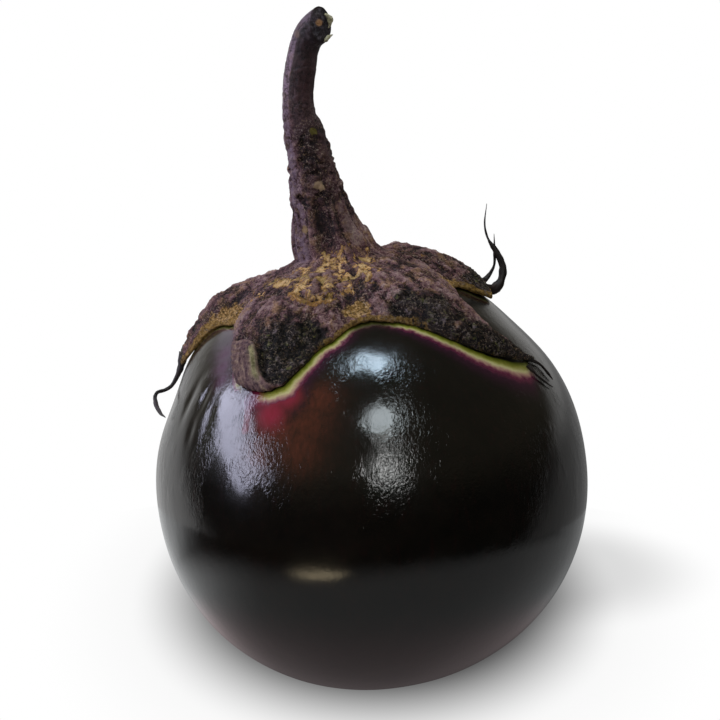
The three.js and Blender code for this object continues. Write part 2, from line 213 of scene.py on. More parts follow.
# Dried tips of the calyx: centrelines from the origin in millimetres, and along each one half of
# what it measures across, seen from the front, and half of what it measures from front to back.
DRIED_TIPS = {
    "left_thread": {
        "points": [(-49.1, 3.5, 87.7), (-50.1, 2.5, 83.1), (-51.2, 2, 80.7), (-52.5, 1.5, 78.8),
                   (-54.1, 1, 77.9), (-55.8, 0, 77.6), (-56.4, -1.5, 76.8), (-55.9, -4, 75.1),
                   (-54.4, -8, 73.9), (-52.7, -12, 73.7)],
        "across": (1.3, 0.85, 0.55, 0.5, 0.45, 0.45, 0.5, 0.62, 0.55, 0.15),
        "deep": (0.9, 0.6, 0.4, 0.35, 0.35, 0.3, 0.3, 0.3, 0.25, 0.1),
    },
    "outer_ribbon": {
        "points": [(28.7, 3, 106.1), (31.1, 5, 104.6), (33.3, 6, 104.3), (35.2, 7, 106.3),
                   (35.7, 7.5, 110.0), (33.8, 7.5, 114.3), (31.8, 7.5, 117.3), (30.8, 8, 121.0),
                   (31.3, 9, 126.6)],
        "across": (1.5, 1.45, 1.5, 1.15, 0.9, 0.9, 0.3, 0.25, 0.08),
        "deep": (1.2, 1.0, 0.8, 0.6, 0.5, 0.4, 0.25, 0.2, 0.08),
    },
    "inner_ribbon": {
        "points": [(27.9, 5, 106.1), (29.9, 7, 106.0), (31.4, 8, 106.8), (33.4, 8.2, 110.1),
                   (33.5, 8, 113.4), (33.3, 8, 118.7)],
        "across": (1.3, 1.0, 0.7, 0.35, 0.4, 0.06),
        "deep": (1.2, 0.9, 0.6, 0.4, 0.35, 0.08),
    },
    "upper_fibre": {
        "points": [(39.8, -20.3, 91.4), (41.3, -19.1, 90.5), (43.9, -16.9, 88.7), (45.8, -16.6, 86.5),
                   (47.1, -16.3, 84.8)],
        "across": (0.8, 0.6, 0.3, 0.35, 0.1),
        "deep": (0.4, 0.3, 0.25, 0.25, 0.1),
    },
    "lower_fibre": {
        "points": [(40.1, -22.5, 89.9), (42.1, -22.7, 87.7), (44.8, -21.1, 85.2), (46.8, -19.4, 83.5)],
        "across": (0.7, 0.25, 0.3, 0.1),
        "deep": (0.4, 0.25, 0.25, 0.1),
    },
}

random_source = np.random.default_rng(SEED)
LATTICE = random_source.permutation(256)
SLOPES = random_source.normal(size=(256, 3))
SLOPES /= np.linalg.norm(SLOPES, axis=1, keepdims=True)
GRAIN_PLACES = random_source.uniform(0.1, 0.9, (256, 3))


# Small tools for shapes

def ease(value, low, high):
    """Goes smoothly from 0 at low to 1 at high."""
    fraction = np.clip((value - low) / (high - low), 0, 1)
    return fraction * fraction * (3 - 2 * fraction)


def bell(distance, reach):
    """Falls smoothly from 1 at no distance to about a third at the reach."""
    return np.exp(-(distance / reach) ** 2)


def mixed(a, b, share):
    return a + (b - a) * share


def unit(vectors):
    return vectors / np.linalg.norm(vectors, axis=-1, keepdims=True)


def lattice_number(cell):
    number = LATTICE[cell[..., 0] & 255]
    number = LATTICE[(number + cell[..., 1]) & 255]
    return LATTICE[(number + cell[..., 2]) & 255]


def noise(points, size):
    """Smooth random swells of about that size, from -1 to 1."""
    scaled = points / np.asarray(size, float)
    cell = np.floor(scaled).astype(int)
    local = scaled - cell
    fade = local ** 3 * (local * (6 * local - 15) + 10)
    total = np.zeros(points.shape[:-1])
    for corner in itertools.product((0, 1), repeat=3):
        step = np.array(corner)
        slope = SLOPES[lattice_number(cell + step)]
        weight = np.prod(np.where(step == 1, fade, 1 - fade), axis=-1)
        total += weight * ((local - step) * slope).sum(-1)
    return NOISE_GAIN * total


def layered(points, size, layers=3, fall=0.5):
    """Swells with smaller swells on them."""
    size = np.asarray(size, float)
    return sum(fall ** layer * noise(points + LAYER_SHIFT * layer, size / 2 ** layer)
               for layer in range(layers))


def creased(points, size):
    """Round folds between sharp creases, from 0 in a crease to about 1."""
    return np.abs(noise(points, size)) * NOISE_GAIN


def grains(points, size):
    """Grains side by side, from 0 where they meet to 1 in the middle of one."""
    scaled = points / np.asarray(size, float)
    cell = np.floor(scaled).astype(int)
    nearest = np.full(points.shape[:-1], 9.0)
    second = nearest.copy()
    for step in itertools.product((-1, 0, 1), repeat=3):
        corner = cell + np.array(step)
        distance = np.linalg.norm(scaled - corner - GRAIN_PLACES[lattice_number(corner)], axis=-1)
        second = np.minimum(second, np.maximum(distance, nearest))
        nearest = np.minimum(nearest, distance)
    return np.clip(second - nearest, 0, 1)


def curve_through(points, fractions):
    """Points along a centripetal curve through the given ones. A fraction counts points, not length."""
    points = np.asarray(points, float)
    ends = [2 * points[0] - points[1]], points, [2 * points[-1] - points[-2]]
    padded = np.concatenate(ends)
    place = np.clip(fractions, 0, 1) * (len(points) - 1)
    before = np.minimum(place.astype(int), len(points) - 2)
    a, b, c, d = (padded[before + step] for step in range(4))
    gap_ab, gap_bc, gap_cd = (np.linalg.norm(q - p, axis=-1, keepdims=True) ** 0.5
                              for p, q in ((a, b), (b, c), (c, d)))
    slope_b = ((b - a) / gap_ab - (c - a) / (gap_ab + gap_bc) + (c - b) / gap_bc) * gap_bc
    slope_c = ((c - b) / gap_bc - (d - b) / (gap_bc + gap_cd) + (d - c) / gap_cd) * gap_bc
    t = (place - before)[:, None]
    return (b + slope_b * t + (3 * (c - b) - 2 * slope_b - slope_c) * t ** 2
            + (2 * (b - c) + slope_b + slope_c) * t ** 3)


def rings_along(points, fractions, nearby, radii):
    """Rings round a curve, their middles, the way the curve runs and the way each ring is measured
    across. From the middles, radii works out what each point lies across and from front to back."""
    middles = curve_through(points, fractions)
    along = unit(curve_through(points, fractions + nearby) - curve_through(points, fractions - nearby))
    right = unit(np.cross((0, 1, 0), along))
    away = np.cross(along, right)
    across, through = radii(middles)
    rings = middles[:, None] + right[:, None] * across[..., None] + away[:, None] * through[..., None]
    return rings, middles, along, right


def value_along(values, fractions):
    return np.interp(fractions, np.linspace(0, 1, len(values)), values)


# The fruit's own frame

def skin_distance(sine, cosine):
    """Distance from the fruit's middle to its skin."""
    across = np.abs(sine / FRUIT_RADIUS) ** SHOULDER_FULLNESS
    along = np.abs(cosine / FRUIT_HALF_HEIGHT) ** SHOULDER_FULLNESS
    return (across + along) ** (-1 / SHOULDER_FULLNESS)


FLATTENING = FRUIT_RADIUS ** 2 - FRUIT_HALF_HEIGHT ** 2
FRUIT_MIDDLE = np.array([
    FLATTENING * math.cos(LEAN) * math.sin(LEAN) / FRUIT_HALF_HEIGHT,
    0,
    skin_distance(math.sin(LEAN), math.cos(LEAN)) - FLAT_DEPTH,
])


def swell_at(swells, azimuth, polar):
    """How far a surface is raised or sunk at a place on it, from a list of swells."""
    total = 0 * azimuth
    for turn, down, reach, height in swells:
        level = np.cos(polar) * math.cos(math.radians(down))
        around = np.sin(polar) * math.sin(math.radians(down)) * np.cos(azimuth - math.radians(turn))
        distance = FRUIT_HALF_HEIGHT * np.arccos(np.clip(level + around, -1, 1))
        total = total + height * bell(distance, reach)
    return total


def from_polar(azimuth, polar, height=0.0):
    """A point over the skin, in the fruit's own frame."""
    distance = skin_distance(np.sin(polar), np.cos(polar)) + swell_at(FRUIT_SWELLS, azimuth, polar) + height
    return np.stack([
        distance * np.sin(polar) * np.cos(azimuth),
        distance * np.sin(polar) * np.sin(azimuth),
        distance * np.cos(polar) + 0 * azimuth,
    ], -1)


def upright(points):
    """From the fruit's own frame to the object's."""
    x, y, z = points[..., 0], points[..., 1], points[..., 2]
    turned = [x * math.cos(LEAN) - z * math.sin(LEAN), y, x * math.sin(LEAN) + z * math.cos(LEAN)]
    return np.stack(turned, -1) + FRUIT_MIDDLE


def leaning(points):
    """From the object's frame to the fruit's own."""
    x, y, z = np.moveaxis(np.asarray(points, float) - FRUIT_MIDDLE, -1, 0)
    return np.stack([x * math.cos(LEAN) + z * math.sin(LEAN), y, z * math.cos(LEAN) - x * math.sin(LEAN)], -1)


def on_skin(degrees_list):
    """Points on the skin, from pairs of azimuth and polar angle in degrees."""
    azimuth, polar = np.radians(np.asarray(degrees_list, float)).T
    return from_polar(azimuth, polar)


def on_globe(points):
    """Points moved straight in or out to one distance from the fruit's middle."""
    return unit(points) * FRUIT_HALF_HEIGHT


def patch(points, middles):
    """A soft mask round places given by azimuth and polar angle in degrees and reach in mm."""
    mask = np.zeros(points.shape[:-1])
    for azimuth, polar, reach in middles:
        distance = np.linalg.norm(on_globe(points) - on_globe(on_skin([(azimuth, polar)])[0]), axis=-1)
        mask = np.maximum(mask, bell(distance, reach))
    return mask


def path_distance(points, path):
    """Distance in mm to a path on the skin, signed by its side, and how far along the path it is."""
    corners = on_globe(on_skin(path))
    flat = on_globe(points)
    best = np.full(points.shape[:-1], 1e9)
    side = np.zeros(points.shape[:-1])
    along = np.zeros(points.shape[:-1])
    for number, (start, end) in enumerate(zip(corners[:-1], corners[1:])):
        step = end - start
        share = np.clip((flat - start) @ step / (step @ step), 0, 1)
        offset = flat - start - share[..., None] * step
        distance = np.linalg.norm(offset, axis=-1)
        nearer = distance < best
        best = np.where(nearer, distance, best)
        side = np.where(nearer, np.sign((np.cross(step, offset) * flat).sum(-1)), side)
        along = np.where(nearer, (number + share) / (len(corners) - 1), along)
    return best * side, along


# Meshes

def ring_faces(rows, columns, first=0):
    """Quads between rings that follow each other, each ring closed on itself."""
    row = np.arange(rows - 1)[:, None]
    column = np.arange(columns)[None]
    here = first + row * columns + column
    beside = first + row * columns + (column + 1) % columns
    return np.stack([here, beside, beside + columns, here + columns], -1).reshape(-1, 4).tolist()


def fan_faces(middle, columns, first, inward=False):
    """Triangles from a ring to one point."""
    column = np.arange(columns)
    pair = [first + column, first + (column + 1) % columns]
    if inward:
        pair.reverse()
    return np.stack([*pair, np.full(columns, middle)], -1).tolist()


def halving_faces(columns, fine_first, coarse_first):
    """Triangles from a ring to a ring after it with half as many points."""
    faces = []
    for coarse in range(columns // 2):
        here = coarse_first + coarse
        beside = coarse_first + (coarse + 1) % (columns // 2)
        left, middle, right = (fine_first + (2 * coarse + step) % columns for step in range(3))
        faces += [(left, middle, here), (middle, beside, here), (middle, right, beside)]
    return faces


def closed_surface(rings, before, after, first=0):
    """Points and faces of rings that follow each other, with a point that closes each end."""
    rows, columns = rings.shape[:2]
    points = np.concatenate([rings.reshape(-1, 3), before, after])
    last = first + rows * columns
    faces = (ring_faces(rows, columns, first) + fan_faces(last, columns, first, inward=True)
             + fan_faces(last + 1, columns, last - columns))
    return points, faces


def add_object(name, data):
    made = bpy.data.objects.new(name, data)
    bpy.context.scene.collection.objects.link(made)
    return made


def make_piece(name, points, faces, material, values, ring_normals=None):
    """A smooth mesh from points in mm in the object's frame, with named values at its points."""
    mesh = bpy.data.meshes.new(name)
    mesh.from_pydata((np.asarray(points) * MM).tolist(), [], faces)
    mesh.polygons.foreach_set("use_smooth", [True] * len(mesh.polygons))
    for label, value in values.items():
        value = np.asarray(value, np.float32)
        kind, field = ("FLOAT_VECTOR", "vector") if value.ndim == 2 else ("FLOAT", "value")
        mesh.attributes.new(label, kind, "POINT").data.foreach_set(field, value.ravel())
    mesh.update()
    if ring_normals is not None:
        numbers, directions = ring_normals
        normals = np.zeros(len(mesh.vertices) * 3, np.float32)
        mesh.vertices.foreach_get("normal", normals)
        normals = normals.reshape(-1, 3)
        normals[numbers] = directions
        mesh.normals_split_custom_set_from_vertices(normals.tolist())
    mesh.materials.append(material)
    piece = add_object(name, mesh)
    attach(piece, "root")
    return piece


# Fruit

# Glows in the skin by azimuth and polar angle, with their reach in mm
RED_GLOW = [(241, 51, 4), (245, 51.5, 4.6), (250, 51, 4), (245, 55.5, 4.6)]
PINK_STREAK = [(237.2, polar, 1.3) for polar in np.arange(51, 60, 1.2)]
PINK_SHARE = 0.65
BROWN_GLOW = [(250, 60, 6), (256, 58, 6.5), (260, 53, 5), (254, 64, 6), (246, 61, 5.5), (243, 65, 4.5)]
PURPLE_GLOW = [(212, 39, 3), (216, 43, 3), (220, 46.5, 2.8), (237, 52, 2.5)]

# Long shallow dents: azimuth and polar angle, length, width and depth in mm
DENTS = [(206, 54, 5.5, 1.6, 0.35), (215, 52, 4, 1.4, 0.25), (221, 58, 6, 1.8, 0.3),
         (214, 61, 3.5, 1.2, 0.2), (75, 80, 7, 3, 0.3), (140, 100, 6, 2.5, 0.25)]
SCAR_RADIUS = 2.6
SCAR_DEPTH = 0.35
SKIN_SWELL = 0.22
RIM_SAMPLES = 3800
OUTLINE_SAMPLES = 760
NIBBLE_CIRCLE = 30


def outline_at(place):
    """Columns of the calyx outline, smoothed between the rows of the list, with angles in radians."""
    count = len(CALYX_OUTLINE)
    table = np.array(CALYX_OUTLINE, float)
    before = np.floor(place).astype(int)
    rows = []
    for step in (-1, 0, 1, 2):
        number = before + step
        turned = table[number % count]
        turned[:, :2] += 360 * (number // count)[:, None]
        rows.append(turned)
    a, b, c, d = rows
    t = (place - before)[:, None]
    smooth = ((2 * t ** 3 - 3 * t ** 2 + 1) * b + (t ** 3 - 2 * t ** 2 + t) * (c - a) / 2
              + (3 * t ** 2 - 2 * t ** 3) * c + (t ** 3 - t ** 2) * (d - b) / 2)
    start, azimuth, polar, rib, lift = smooth.T
    start = np.radians(start)
    for turns, depth in EDGE_WAVES:
        polar = polar + depth * np.sin(turns * start + turns)
    circle = NIBBLE_CIRCLE * np.stack([np.cos(start), np.sin(start), 0 * start], -1)
    polar = polar + EDGE_NIBBLE * layered(circle, 1.6, 3, 0.7)
    return {
        "start": start,
        "azimuth": np.radians(azimuth),
        "polar": np.radians(polar),
        "rib": np.clip(rib, 0, 1),
        "lift": np.maximum(lift, 0),
    }


def whole_outline(count):
    """That many columns, from all round the outline."""
    return outline_at(np.arange(count) * len(CALYX_OUTLINE) / count)


def distance_to_rim(points):
    """Distance along the skin to the rim, in mm, and the place on the outline that is nearest."""
    columns = whole_outline(RIM_SAMPLES)
    rim = on_globe(from_polar(columns["azimuth"], columns["polar"]))
    tree = KDTree(RIM_SAMPLES)
    for number, point in enumerate(rim):
        tree.insert(point, number)
    tree.balance()
    found = [tree.find(point)[1:] for point in on_globe(points.reshape(-1, 3))]
    number, distance = np.array(found).T.reshape(2, *points.shape[:-1])
    return distance, number / RIM_SAMPLES * len(CALYX_OUTLINE)


def under_calyx(azimuth, polar):
    """True where a point of the skin lies within the outline of the calyx."""
    columns = whole_outline(OUTLINE_SAMPLES)
    x = columns["polar"] * np.cos(columns["azimuth"])
    y = columns["polar"] * np.sin(columns["azimuth"])
    px = (polar * np.cos(azimuth)).ravel()
    py = (polar * np.sin(azimuth)).ravel()
    inside = np.zeros(px.shape, bool)
    for x0, y0, x1, y1 in zip(x, y, np.roll(x, -1), np.roll(y, -1)):
        crosses = (y0 > py) != (y1 > py)
        if crosses.any():
            where = x0 + (py - y0) / (y1 - y0 + 1e-12) * (x1 - x0)
            inside ^= crosses & (px < where)
    return inside.reshape(polar.shape)


def dents(base):
    """How far the long dents lie under the skin."""
    inward = np.zeros(base.shape[:-1])
    for azimuth, polar, length, width, depth in DENTS:
        middle = on_skin([(azimuth, polar)])[0]
        away = base - middle
        lengthwise = away @ unit(np.cross(np.cross(middle, (0, 0, 1)), middle))
        sidewise = np.sqrt(np.maximum((away ** 2).sum(-1) - lengthwise ** 2, 0))
        inward += depth * np.exp(-(lengthwise / length) ** 2 - (sidewise / width) ** 2)
    return inward


def build_fruit(material):
    bands = [np.linspace(low, high, count, endpoint=False) for low, high, count in SKIN_BANDS]
    azimuth, polar = np.meshgrid(np.linspace(0, 2 * math.pi, SKIN_COLUMNS, endpoint=False),
                                 np.radians(np.concatenate(bands)))
    base = from_polar(azimuth, polar)
    from_scar = (math.pi - polar) * FRUIT_HALF_HEIGHT
    scar_edge = SCAR_RADIUS * (1 + 0.25 * noise(unit(base) * 8, 4))
    inward = SKIN_SWELL * (1 + layered(base, (26, 26, 40), 2)) / 2 * ease(polar, 0.5, 1) + dents(base)
    inward += SCAR_DEPTH * (1 - ease(from_scar, scar_edge - 0.7, scar_edge + 0.4))
    points = upright(base * (1 - inward / np.linalg.norm(base, axis=-1))[..., None])
    points[..., 2] = (points[..., 2] + np.sqrt(points[..., 2] ** 2 + FLAT_EASE ** 2)) / 2
    top = upright(np.array([[0, 0, FRUIT_HALF_HEIGHT]]))
    points, faces = closed_surface(points, top, points[-1].mean(0, keepdims=True))

    rim_distance, rim_place = distance_to_rim(base)
    red = np.maximum(patch(base, RED_GLOW), PINK_SHARE * patch(base, PINK_STREAK))
    values = {
        "rim_distance": (np.where(under_calyx(azimuth, polar), -1, 1) * rim_distance, -20, 60),
        "band": (np.interp(rim_place, *np.array(BAND_STRENGTH).T), 0, 0),
        "band_width": (np.interp(rim_place, *np.array(BAND_WIDTH).T), 1, 1),
        "red_glow": (red, 0, 0),
        "brown_glow": (patch(base, BROWN_GLOW), 0, 0),
        "purple_glow": (patch(base, PURPLE_GLOW), 0, 0),
        "from_scar": (from_scar / (scar_edge / SCAR_RADIUS), 150, 0),
    }
    values = {label: np.append(value, ends) for label, (value, *ends) in values.items()}
    skin = make_piece("fruit_skin", points, [face[::-1] for face in faces], material, values)
    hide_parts("fruit")


# Calyx and stem. They are one grid of lines of growth, from the cut end of the stem down to the
# rim of the calyx, which is divided into two pieces where the stem stands on the calyx.

CORK_AZIMUTH = math.radians(285)

# How far a rod's point stands past its last ring, and the length that its fibres are drawn for, in mm
ROD_POINT = 0.2
ROD_GROWTH = 30


def ridge_wave(angle):
    """How far a ridge stands out at an angle round the stem, from -1 in a furrow to 1."""
    return np.cos(STEM_RIDGE_COUNT * angle + RIDGE_UNEVENNESS * np.sin(2 * angle))


def stem_rows(start):
    """Rings of the stem from its cut end down, and their middles."""
    stations = np.array(STEM_STATIONS, float)
    fine = np.linspace(0, 1, LINE_SAMPLES)
    line = curve_through(stations[:, :3], fine)
    length = np.append(0, np.cumsum(np.linalg.norm(np.diff(line, axis=0), axis=1)))
    fractions = np.interp(np.linspace(length[-1], 0, STEM_ROWS), length, fine)

    def radii(middles):
        ridge_fade = 1 - ease(middles[:, 2:], SEAT_HEIGHT, RIDGE_FADE_HEIGHT)
        radius = value_along(stations[:, 3], fractions)[:, None]
        radius = radius + STEM_RIDGE_DEPTH * ridge_fade * ridge_wave(start)
        return radius * np.cos(start), radius * np.sin(start)

    rings, middles, along, _ = rings_along(stations[:, :3], fractions, 1e-3, radii)
    return slanted(rings, middles[0], along[0]), middles


def slanted(rings, end, along):
    """Slants the last stretch of the stem, so that its cut end faces the way it does."""
    offset = rings - end
    before = offset @ along
    level = offset - before[..., None] * along
    share = ease(before, -CUT_REACH, 0)
    return rings - (share * (level @ CUT_FACING) / (along @ CUT_FACING))[..., None] * along


def calyx_rows(columns):
    """Rings over the calyx from its seat to its rim, with how far outward each point is."""
    outward = np.linspace(0, 1, CALYX_ROWS + 1)[1:, None] ** ROW_SPREAD
    reach = RIB_START * columns["rib"]
    fall = np.clip((outward - reach) / (1 - reach), 0, 1) ** FALL_POWER
    crown = CROWN_THICKNESS + RIB_RISE * columns["rib"] * np.sin(math.pi * outward ** 2)
    ridge = FURROW_DEPTH * (1 - outward) * ridge_wave(columns["start"])
    bend = outward ** BEND_POWER
    azimuth = mixed(columns["start"], columns["azimuth"], bend)
    polar = mixed(SEAT_POLAR, columns["polar"], outward)
    thickness = mixed(crown, GAP + RIM_THICKNESS, fall) + ridge + swell_at(CALYX_SWELLS, azimuth, polar)
    lift = columns["lift"] * bend
    return from_polar(azimuth, polar, thickness + lift), azimuth, polar, lift, outward


def smooth_flare(grid, seam):
    """Rounds the corner between the stem and the calyx into a flare."""
    step = np.linalg.norm(np.diff(grid, axis=0), axis=-1).mean(1)
    place = np.append(0, np.cumsum(step))
    weight = 1 - ease(np.abs(place - place[seam]), FLARE_CORE, FLARE_REACH)
    weight = weight[1:-1, None, None] * 0.5
    for _ in range(FLARE_PASSES):
        grid[1:-1] += weight * (grid[:-2] + grid[2:] - 2 * grid[1:-1])
    return grid


def grid_normals(grid):
    across = np.roll(grid, -1, 1) - np.roll(grid, 1, 1)
    down = np.gradient(grid, axis=0)
    return unit(np.cross(down, across))


def stem_relief(place, growth, height):
    """Long furrows low on the stem, lumps, folds and pits higher up, and a smooth top."""
    low = 1 - ease(height, 9, 21)
    middle = ease(height, 8, 17) * (1 - ease(height, 27, 43))
    top = ease(height, 32, 42)
    furrows = 0.95 * (creased(growth * (10, 10, 1), (4.2, 4.2, 30)) - 0.45)
    furrows += 0.35 * (creased(growth * (10, 10, 1), (1.7, 1.7, 12)) - 0.45)
    bent = place + 1.5 * noise(place, 4)[..., None]
    folds = 0.55 * (creased(bent, (6, 6, 3.4)) - 0.45) + 0.3 * (creased(bent + 9, (2.6, 2.6, 1.9)) - 0.4)
    lumps = 0.45 * noise(place + 40, 6) + 0.3 * (grains(place, (2.5, 2.5, 2.3)) - 0.3)
    pits = -0.8 * ease(noise(place + 21, (3.4, 3.4, 2.4)), 0.4, 0.75)
    flutes = 0.16 * layered(growth * (4, 4, 1), (1.8, 1.8, 24), 2)
    skin = 0.07 * layered(place, 0.9, 2)
    return low * furrows + middle * (folds + lumps + pits) + top * flutes + skin


def calyx_relief(place, growth, outward, rim_distance, marks):
    """Folds and creases that run outward, a crumpled skin over them, and grains where it has dried."""
    spread = ease(outward, 0.02, 0.3)
    near_rim = ease(rim_distance, 0.2, 2.6)
    folds = 0.4 * noise(place, 9) + 0.3 * layered(growth * (34, 34, 1), (5, 5, 15), 2)
    bent = place + 1.1 * noise(place, 6)[..., None]
    crumple = 0.55 * (creased(bent, 4.2) - 0.45) + 0.25 * (creased(bent + 5, 2.2) - 0.45)
    fine = 0.22 * layered(place, 0.9, 2)
    lines = 0.4 * (creased(growth * (26, 26, 1), (2.2, 2.2, 16)) - 0.45)
    crumbs = marks["dark"] * (0.65 * (grains(bent, 1.9) - 0.35) + 0.35 * (grains(place, 0.95) - 0.3))
    smooth = 1 - 0.8 * marks["hem"] - 0.6 * marks["web"]
    relief = spread * (folds + smooth * (crumple + crumbs)) + lines * (1 - 0.7 * marks["hem"]) + smooth * fine
    ribs = 0.2 * np.cos(2 * math.pi * marks["hem_across"] / HEM_RIB_WIDTH)
    hem = marks["hem"] * (0.7 + ribs) - 0.8 * marks["hem_foot"]
    step = 0.6 * marks["step"] - 0.6 * marks["step_foot"]
    hollows = -0.7 * marks["web"] - 0.8 * marks["hollow"]
    return mixed(0.45, 1, near_rim) * relief + near_rim * (step + hollows) + mixed(0.5, 1, near_rim) * hem


def calyx_marks(base, rim_distance, rim_place):
    """Where the hem, the torn step, the webs in the notches and the dried patches are."""
    hem_across, hem_along = path_distance(base, HEM_LINE)
    hem_side = -hem_across
    on_hem = (1 - ease(hem_along, 0.93, 0.99)) * ease(hem_side, -0.2, 0.3)
    upright_part = ease(hem_along, 0.18, 0.26) * (1 - ease(hem_along, 0.5, 0.66))
    step_across, step_along = path_distance(base, STEP_LINE)
    on_step = ease(step_along, 0.01, 0.1) * (1 - ease(step_along, 0.9, 0.99))
    return {
        "hem": on_hem,
        "hem_across": hem_side,
        "hem_foot": (1 - ease(hem_along, 0.85, 0.99)) * bell(hem_side + 0.75, 0.6),
        "hem_stripe": on_hem * upright_part * bell(hem_side - 0.9, 0.7),
        "hem_edge": on_hem * ease(hem_along, 0.3, 0.6) * bell(hem_side - 0.15, 0.25),
        "step": on_step * bell(step_across + 0.5, 0.7),
        "step_foot": on_step * bell(step_across - 0.9, 0.7),
        "step_line": on_step * bell(step_across, 1.1),
        "web": patch(base, WEB_PATCHES),
        "dark": np.clip(1.2 * patch(base, DARK_PATCHES), 0, 1),
        "hollow": patch(base, HOLLOW_PATCHES),
        "cork": patch(base, CORK_PATCHES),
        "edge_tan": np.interp(rim_place, *np.array(EDGE_TAN).T) * (1 - ease(rim_distance, 0.2, 1.3)),
    }


def underside(columns):
    """Rings from the rim inward along the underside."""
    rings = []
    for row in range(UNDER_ROWS):
        share = 1 - (row + 1) / (UNDER_ROWS + 1) if row else UNDER_START
        bend = share ** BEND_POWER
        azimuth = mixed(columns["start"], columns["azimuth"], bend)
        rings.append(from_polar(azimuth, share * columns["polar"], GAP + columns["lift"] * bend))
    return np.array(rings)


def build_calyx_and_stem(calyx_material, stem_material):
    count = len(CALYX_OUTLINE) * COLUMNS_PER_POINT
    columns = whole_outline(count)
    start = columns["start"]
    stem, middles = stem_rows(start)
    calyx, azimuth, polar, lift, outward = calyx_rows(columns)
    seam = STEM_ROWS - 1
    grid = smooth_flare(np.concatenate([stem, calyx]), seam)

    step = np.linalg.norm(np.diff(grid, axis=0), axis=-1)
    length = np.concatenate([np.zeros((1, count)), np.cumsum(step, axis=0)])
    length = length - length[seam]
    turn = np.broadcast_to(start, length.shape)
    growth = np.stack([np.cos(turn), np.sin(turn), length], -1)

    calyx_base = from_polar(azimuth, polar)
    rim_distance, rim_place = distance_to_rim(calyx_base)
    marks = calyx_marks(calyx_base, rim_distance, rim_place)
    height = np.repeat(middles[:, 2:] - SEAT_HEIGHT, count, axis=1)
    relief = np.concatenate([
        stem_relief(grid[:STEM_ROWS], growth[:STEM_ROWS], height),
        calyx_relief(grid[STEM_ROWS:], growth[STEM_ROWS:], outward, rim_distance, marks),
    ])
    shared_lines = 0.35 * (creased(growth * (11, 11, 1), (2.2, 2.2, 16)) - 0.45)
    near_seam = 1 - ease(np.abs(length), 1, 6)
    relief = mixed(relief, shared_lines + 0.1 * layered(grid, 1.1, 2), near_seam)

    surface = grid + grid_normals(grid) * relief[..., None]
    surface[STEM_ROWS:] = rounded_rim(surface[STEM_ROWS:], from_polar(azimuth, polar, GAP + RIM_EDGE + lift),
                                      rim_distance)
    normals = grid_normals(surface)[seam]
    facing = np.sign((normals * (surface[seam] - middles[-1])).sum(-1).mean())
    seam_normals = unit(upright(normals * facing) - FRUIT_MIDDLE)

    values = {label: np.concatenate([np.zeros(stem.shape[:2]), marks[label]]) for label in (
        "cork", "dark", "web", "hem", "hem_across", "hem_stripe", "hem_edge", "step_line", "edge_tan")}
    values["height"] = np.concatenate([height, 0 * rim_distance])
    values["cork"][:STEM_ROWS] = stem_cork(height, start)
    values.update(relief=relief, growth=growth, cut=0 * length, pith=0 * length)
    build_stem(surface, values, seam, middles[0], seam_normals, stem_material)
    build_calyx(surface, values, seam, columns, seam_normals, calyx_material)


def rounded_rim(top, floor, rim_distance):
    """Rounds the rim of the calyx down to its floor, and lifts what lies under that floor."""
    rounding = np.sqrt(1 - (1 - np.clip(rim_distance / RIM_ROUNDING, 0, 1)) ** 2)
    top = floor + (top - floor) * rounding[..., None]
    over_skin = np.linalg.norm(top, axis=-1) - np.linalg.norm(floor, axis=-1)
    return top * (1 + np.maximum(-over_skin, 0) / np.linalg.norm(top, axis=-1))[..., None]


def stem_cork(height, start):
    """Cork runs a little way up the foot of the stem."""
    return 0.9 * bell(np.cos(start - CORK_AZIMUTH) - 1, 0.25) * (1 - ease(height, 1, 6))


def build_stem(surface, values, seam, end_middle, seam_normals, material):
    """The stem, from the ring it shares with the calyx up to its ragged cut end. Above that first
    ring it has half as many points to a ring."""
    count = surface.shape[1]
    rings = [surface[seam], *surface[:seam][::-1, ::2]]
    extra = {label: [value[seam], *value[:seam][::-1, ::2]] for label, value in values.items()}
    end_ring = rings[-1]
    for share in END_RING_SHARES:
        ring = end_middle + (end_ring - end_middle) * share
        raggedness = CUT_RAGGEDNESS * layered(ring, (1.1, 1.1, 1.1), 3) * (1 - share ** 4)
        rise = END_ROUNDING * math.sqrt(1 - share ** 2) + raggedness
        from_pith = np.linalg.norm((ring - leaning(PITH_MIDDLE)) / PITH_REACH, axis=-1)
        rings.append(ring + CUT_FACING * (rise - CUT_SINK)[:, None])
        for rows in extra.values():
            rows.append(rows[seam])
        extra["cut"][-1] = np.full(len(ring), ease(-share, -0.98, -0.86))
        extra["pith"][-1] = 1 - ease(from_pith, 0.75, 1.1)
    points = np.concatenate([*rings, rings[-1].mean(0, keepdims=True), rings[0].mean(0, keepdims=True)])
    half = len(end_ring)
    last = len(points) - 2
    faces = (halving_faces(count, 0, count) + ring_faces(len(rings) - 1, half, count)
             + fan_faces(last, half, last - half) + fan_faces(last + 1, count, 0, inward=True))
    flat = {label: np.concatenate([*rows, rows[-1][:1], rows[0][:1]]) for label, rows in extra.items()}
    for chip in CHIPS:
        rod, rod_faces, _ = rod_points(chip, 14, 12, 0.5, first=len(points))
        points = np.concatenate([points, leaning(rod)])
        faces += rod_faces
        flat = {label: np.concatenate([value, np.zeros((len(rod), *value.shape[1:]))])
                for label, value in flat.items()}
        flat["cut"][-len(rod):] = -1
    stem = make_piece("stem_bark", upright(points), faces, material, flat, (np.arange(count), seam_normals))
    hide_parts("stem")


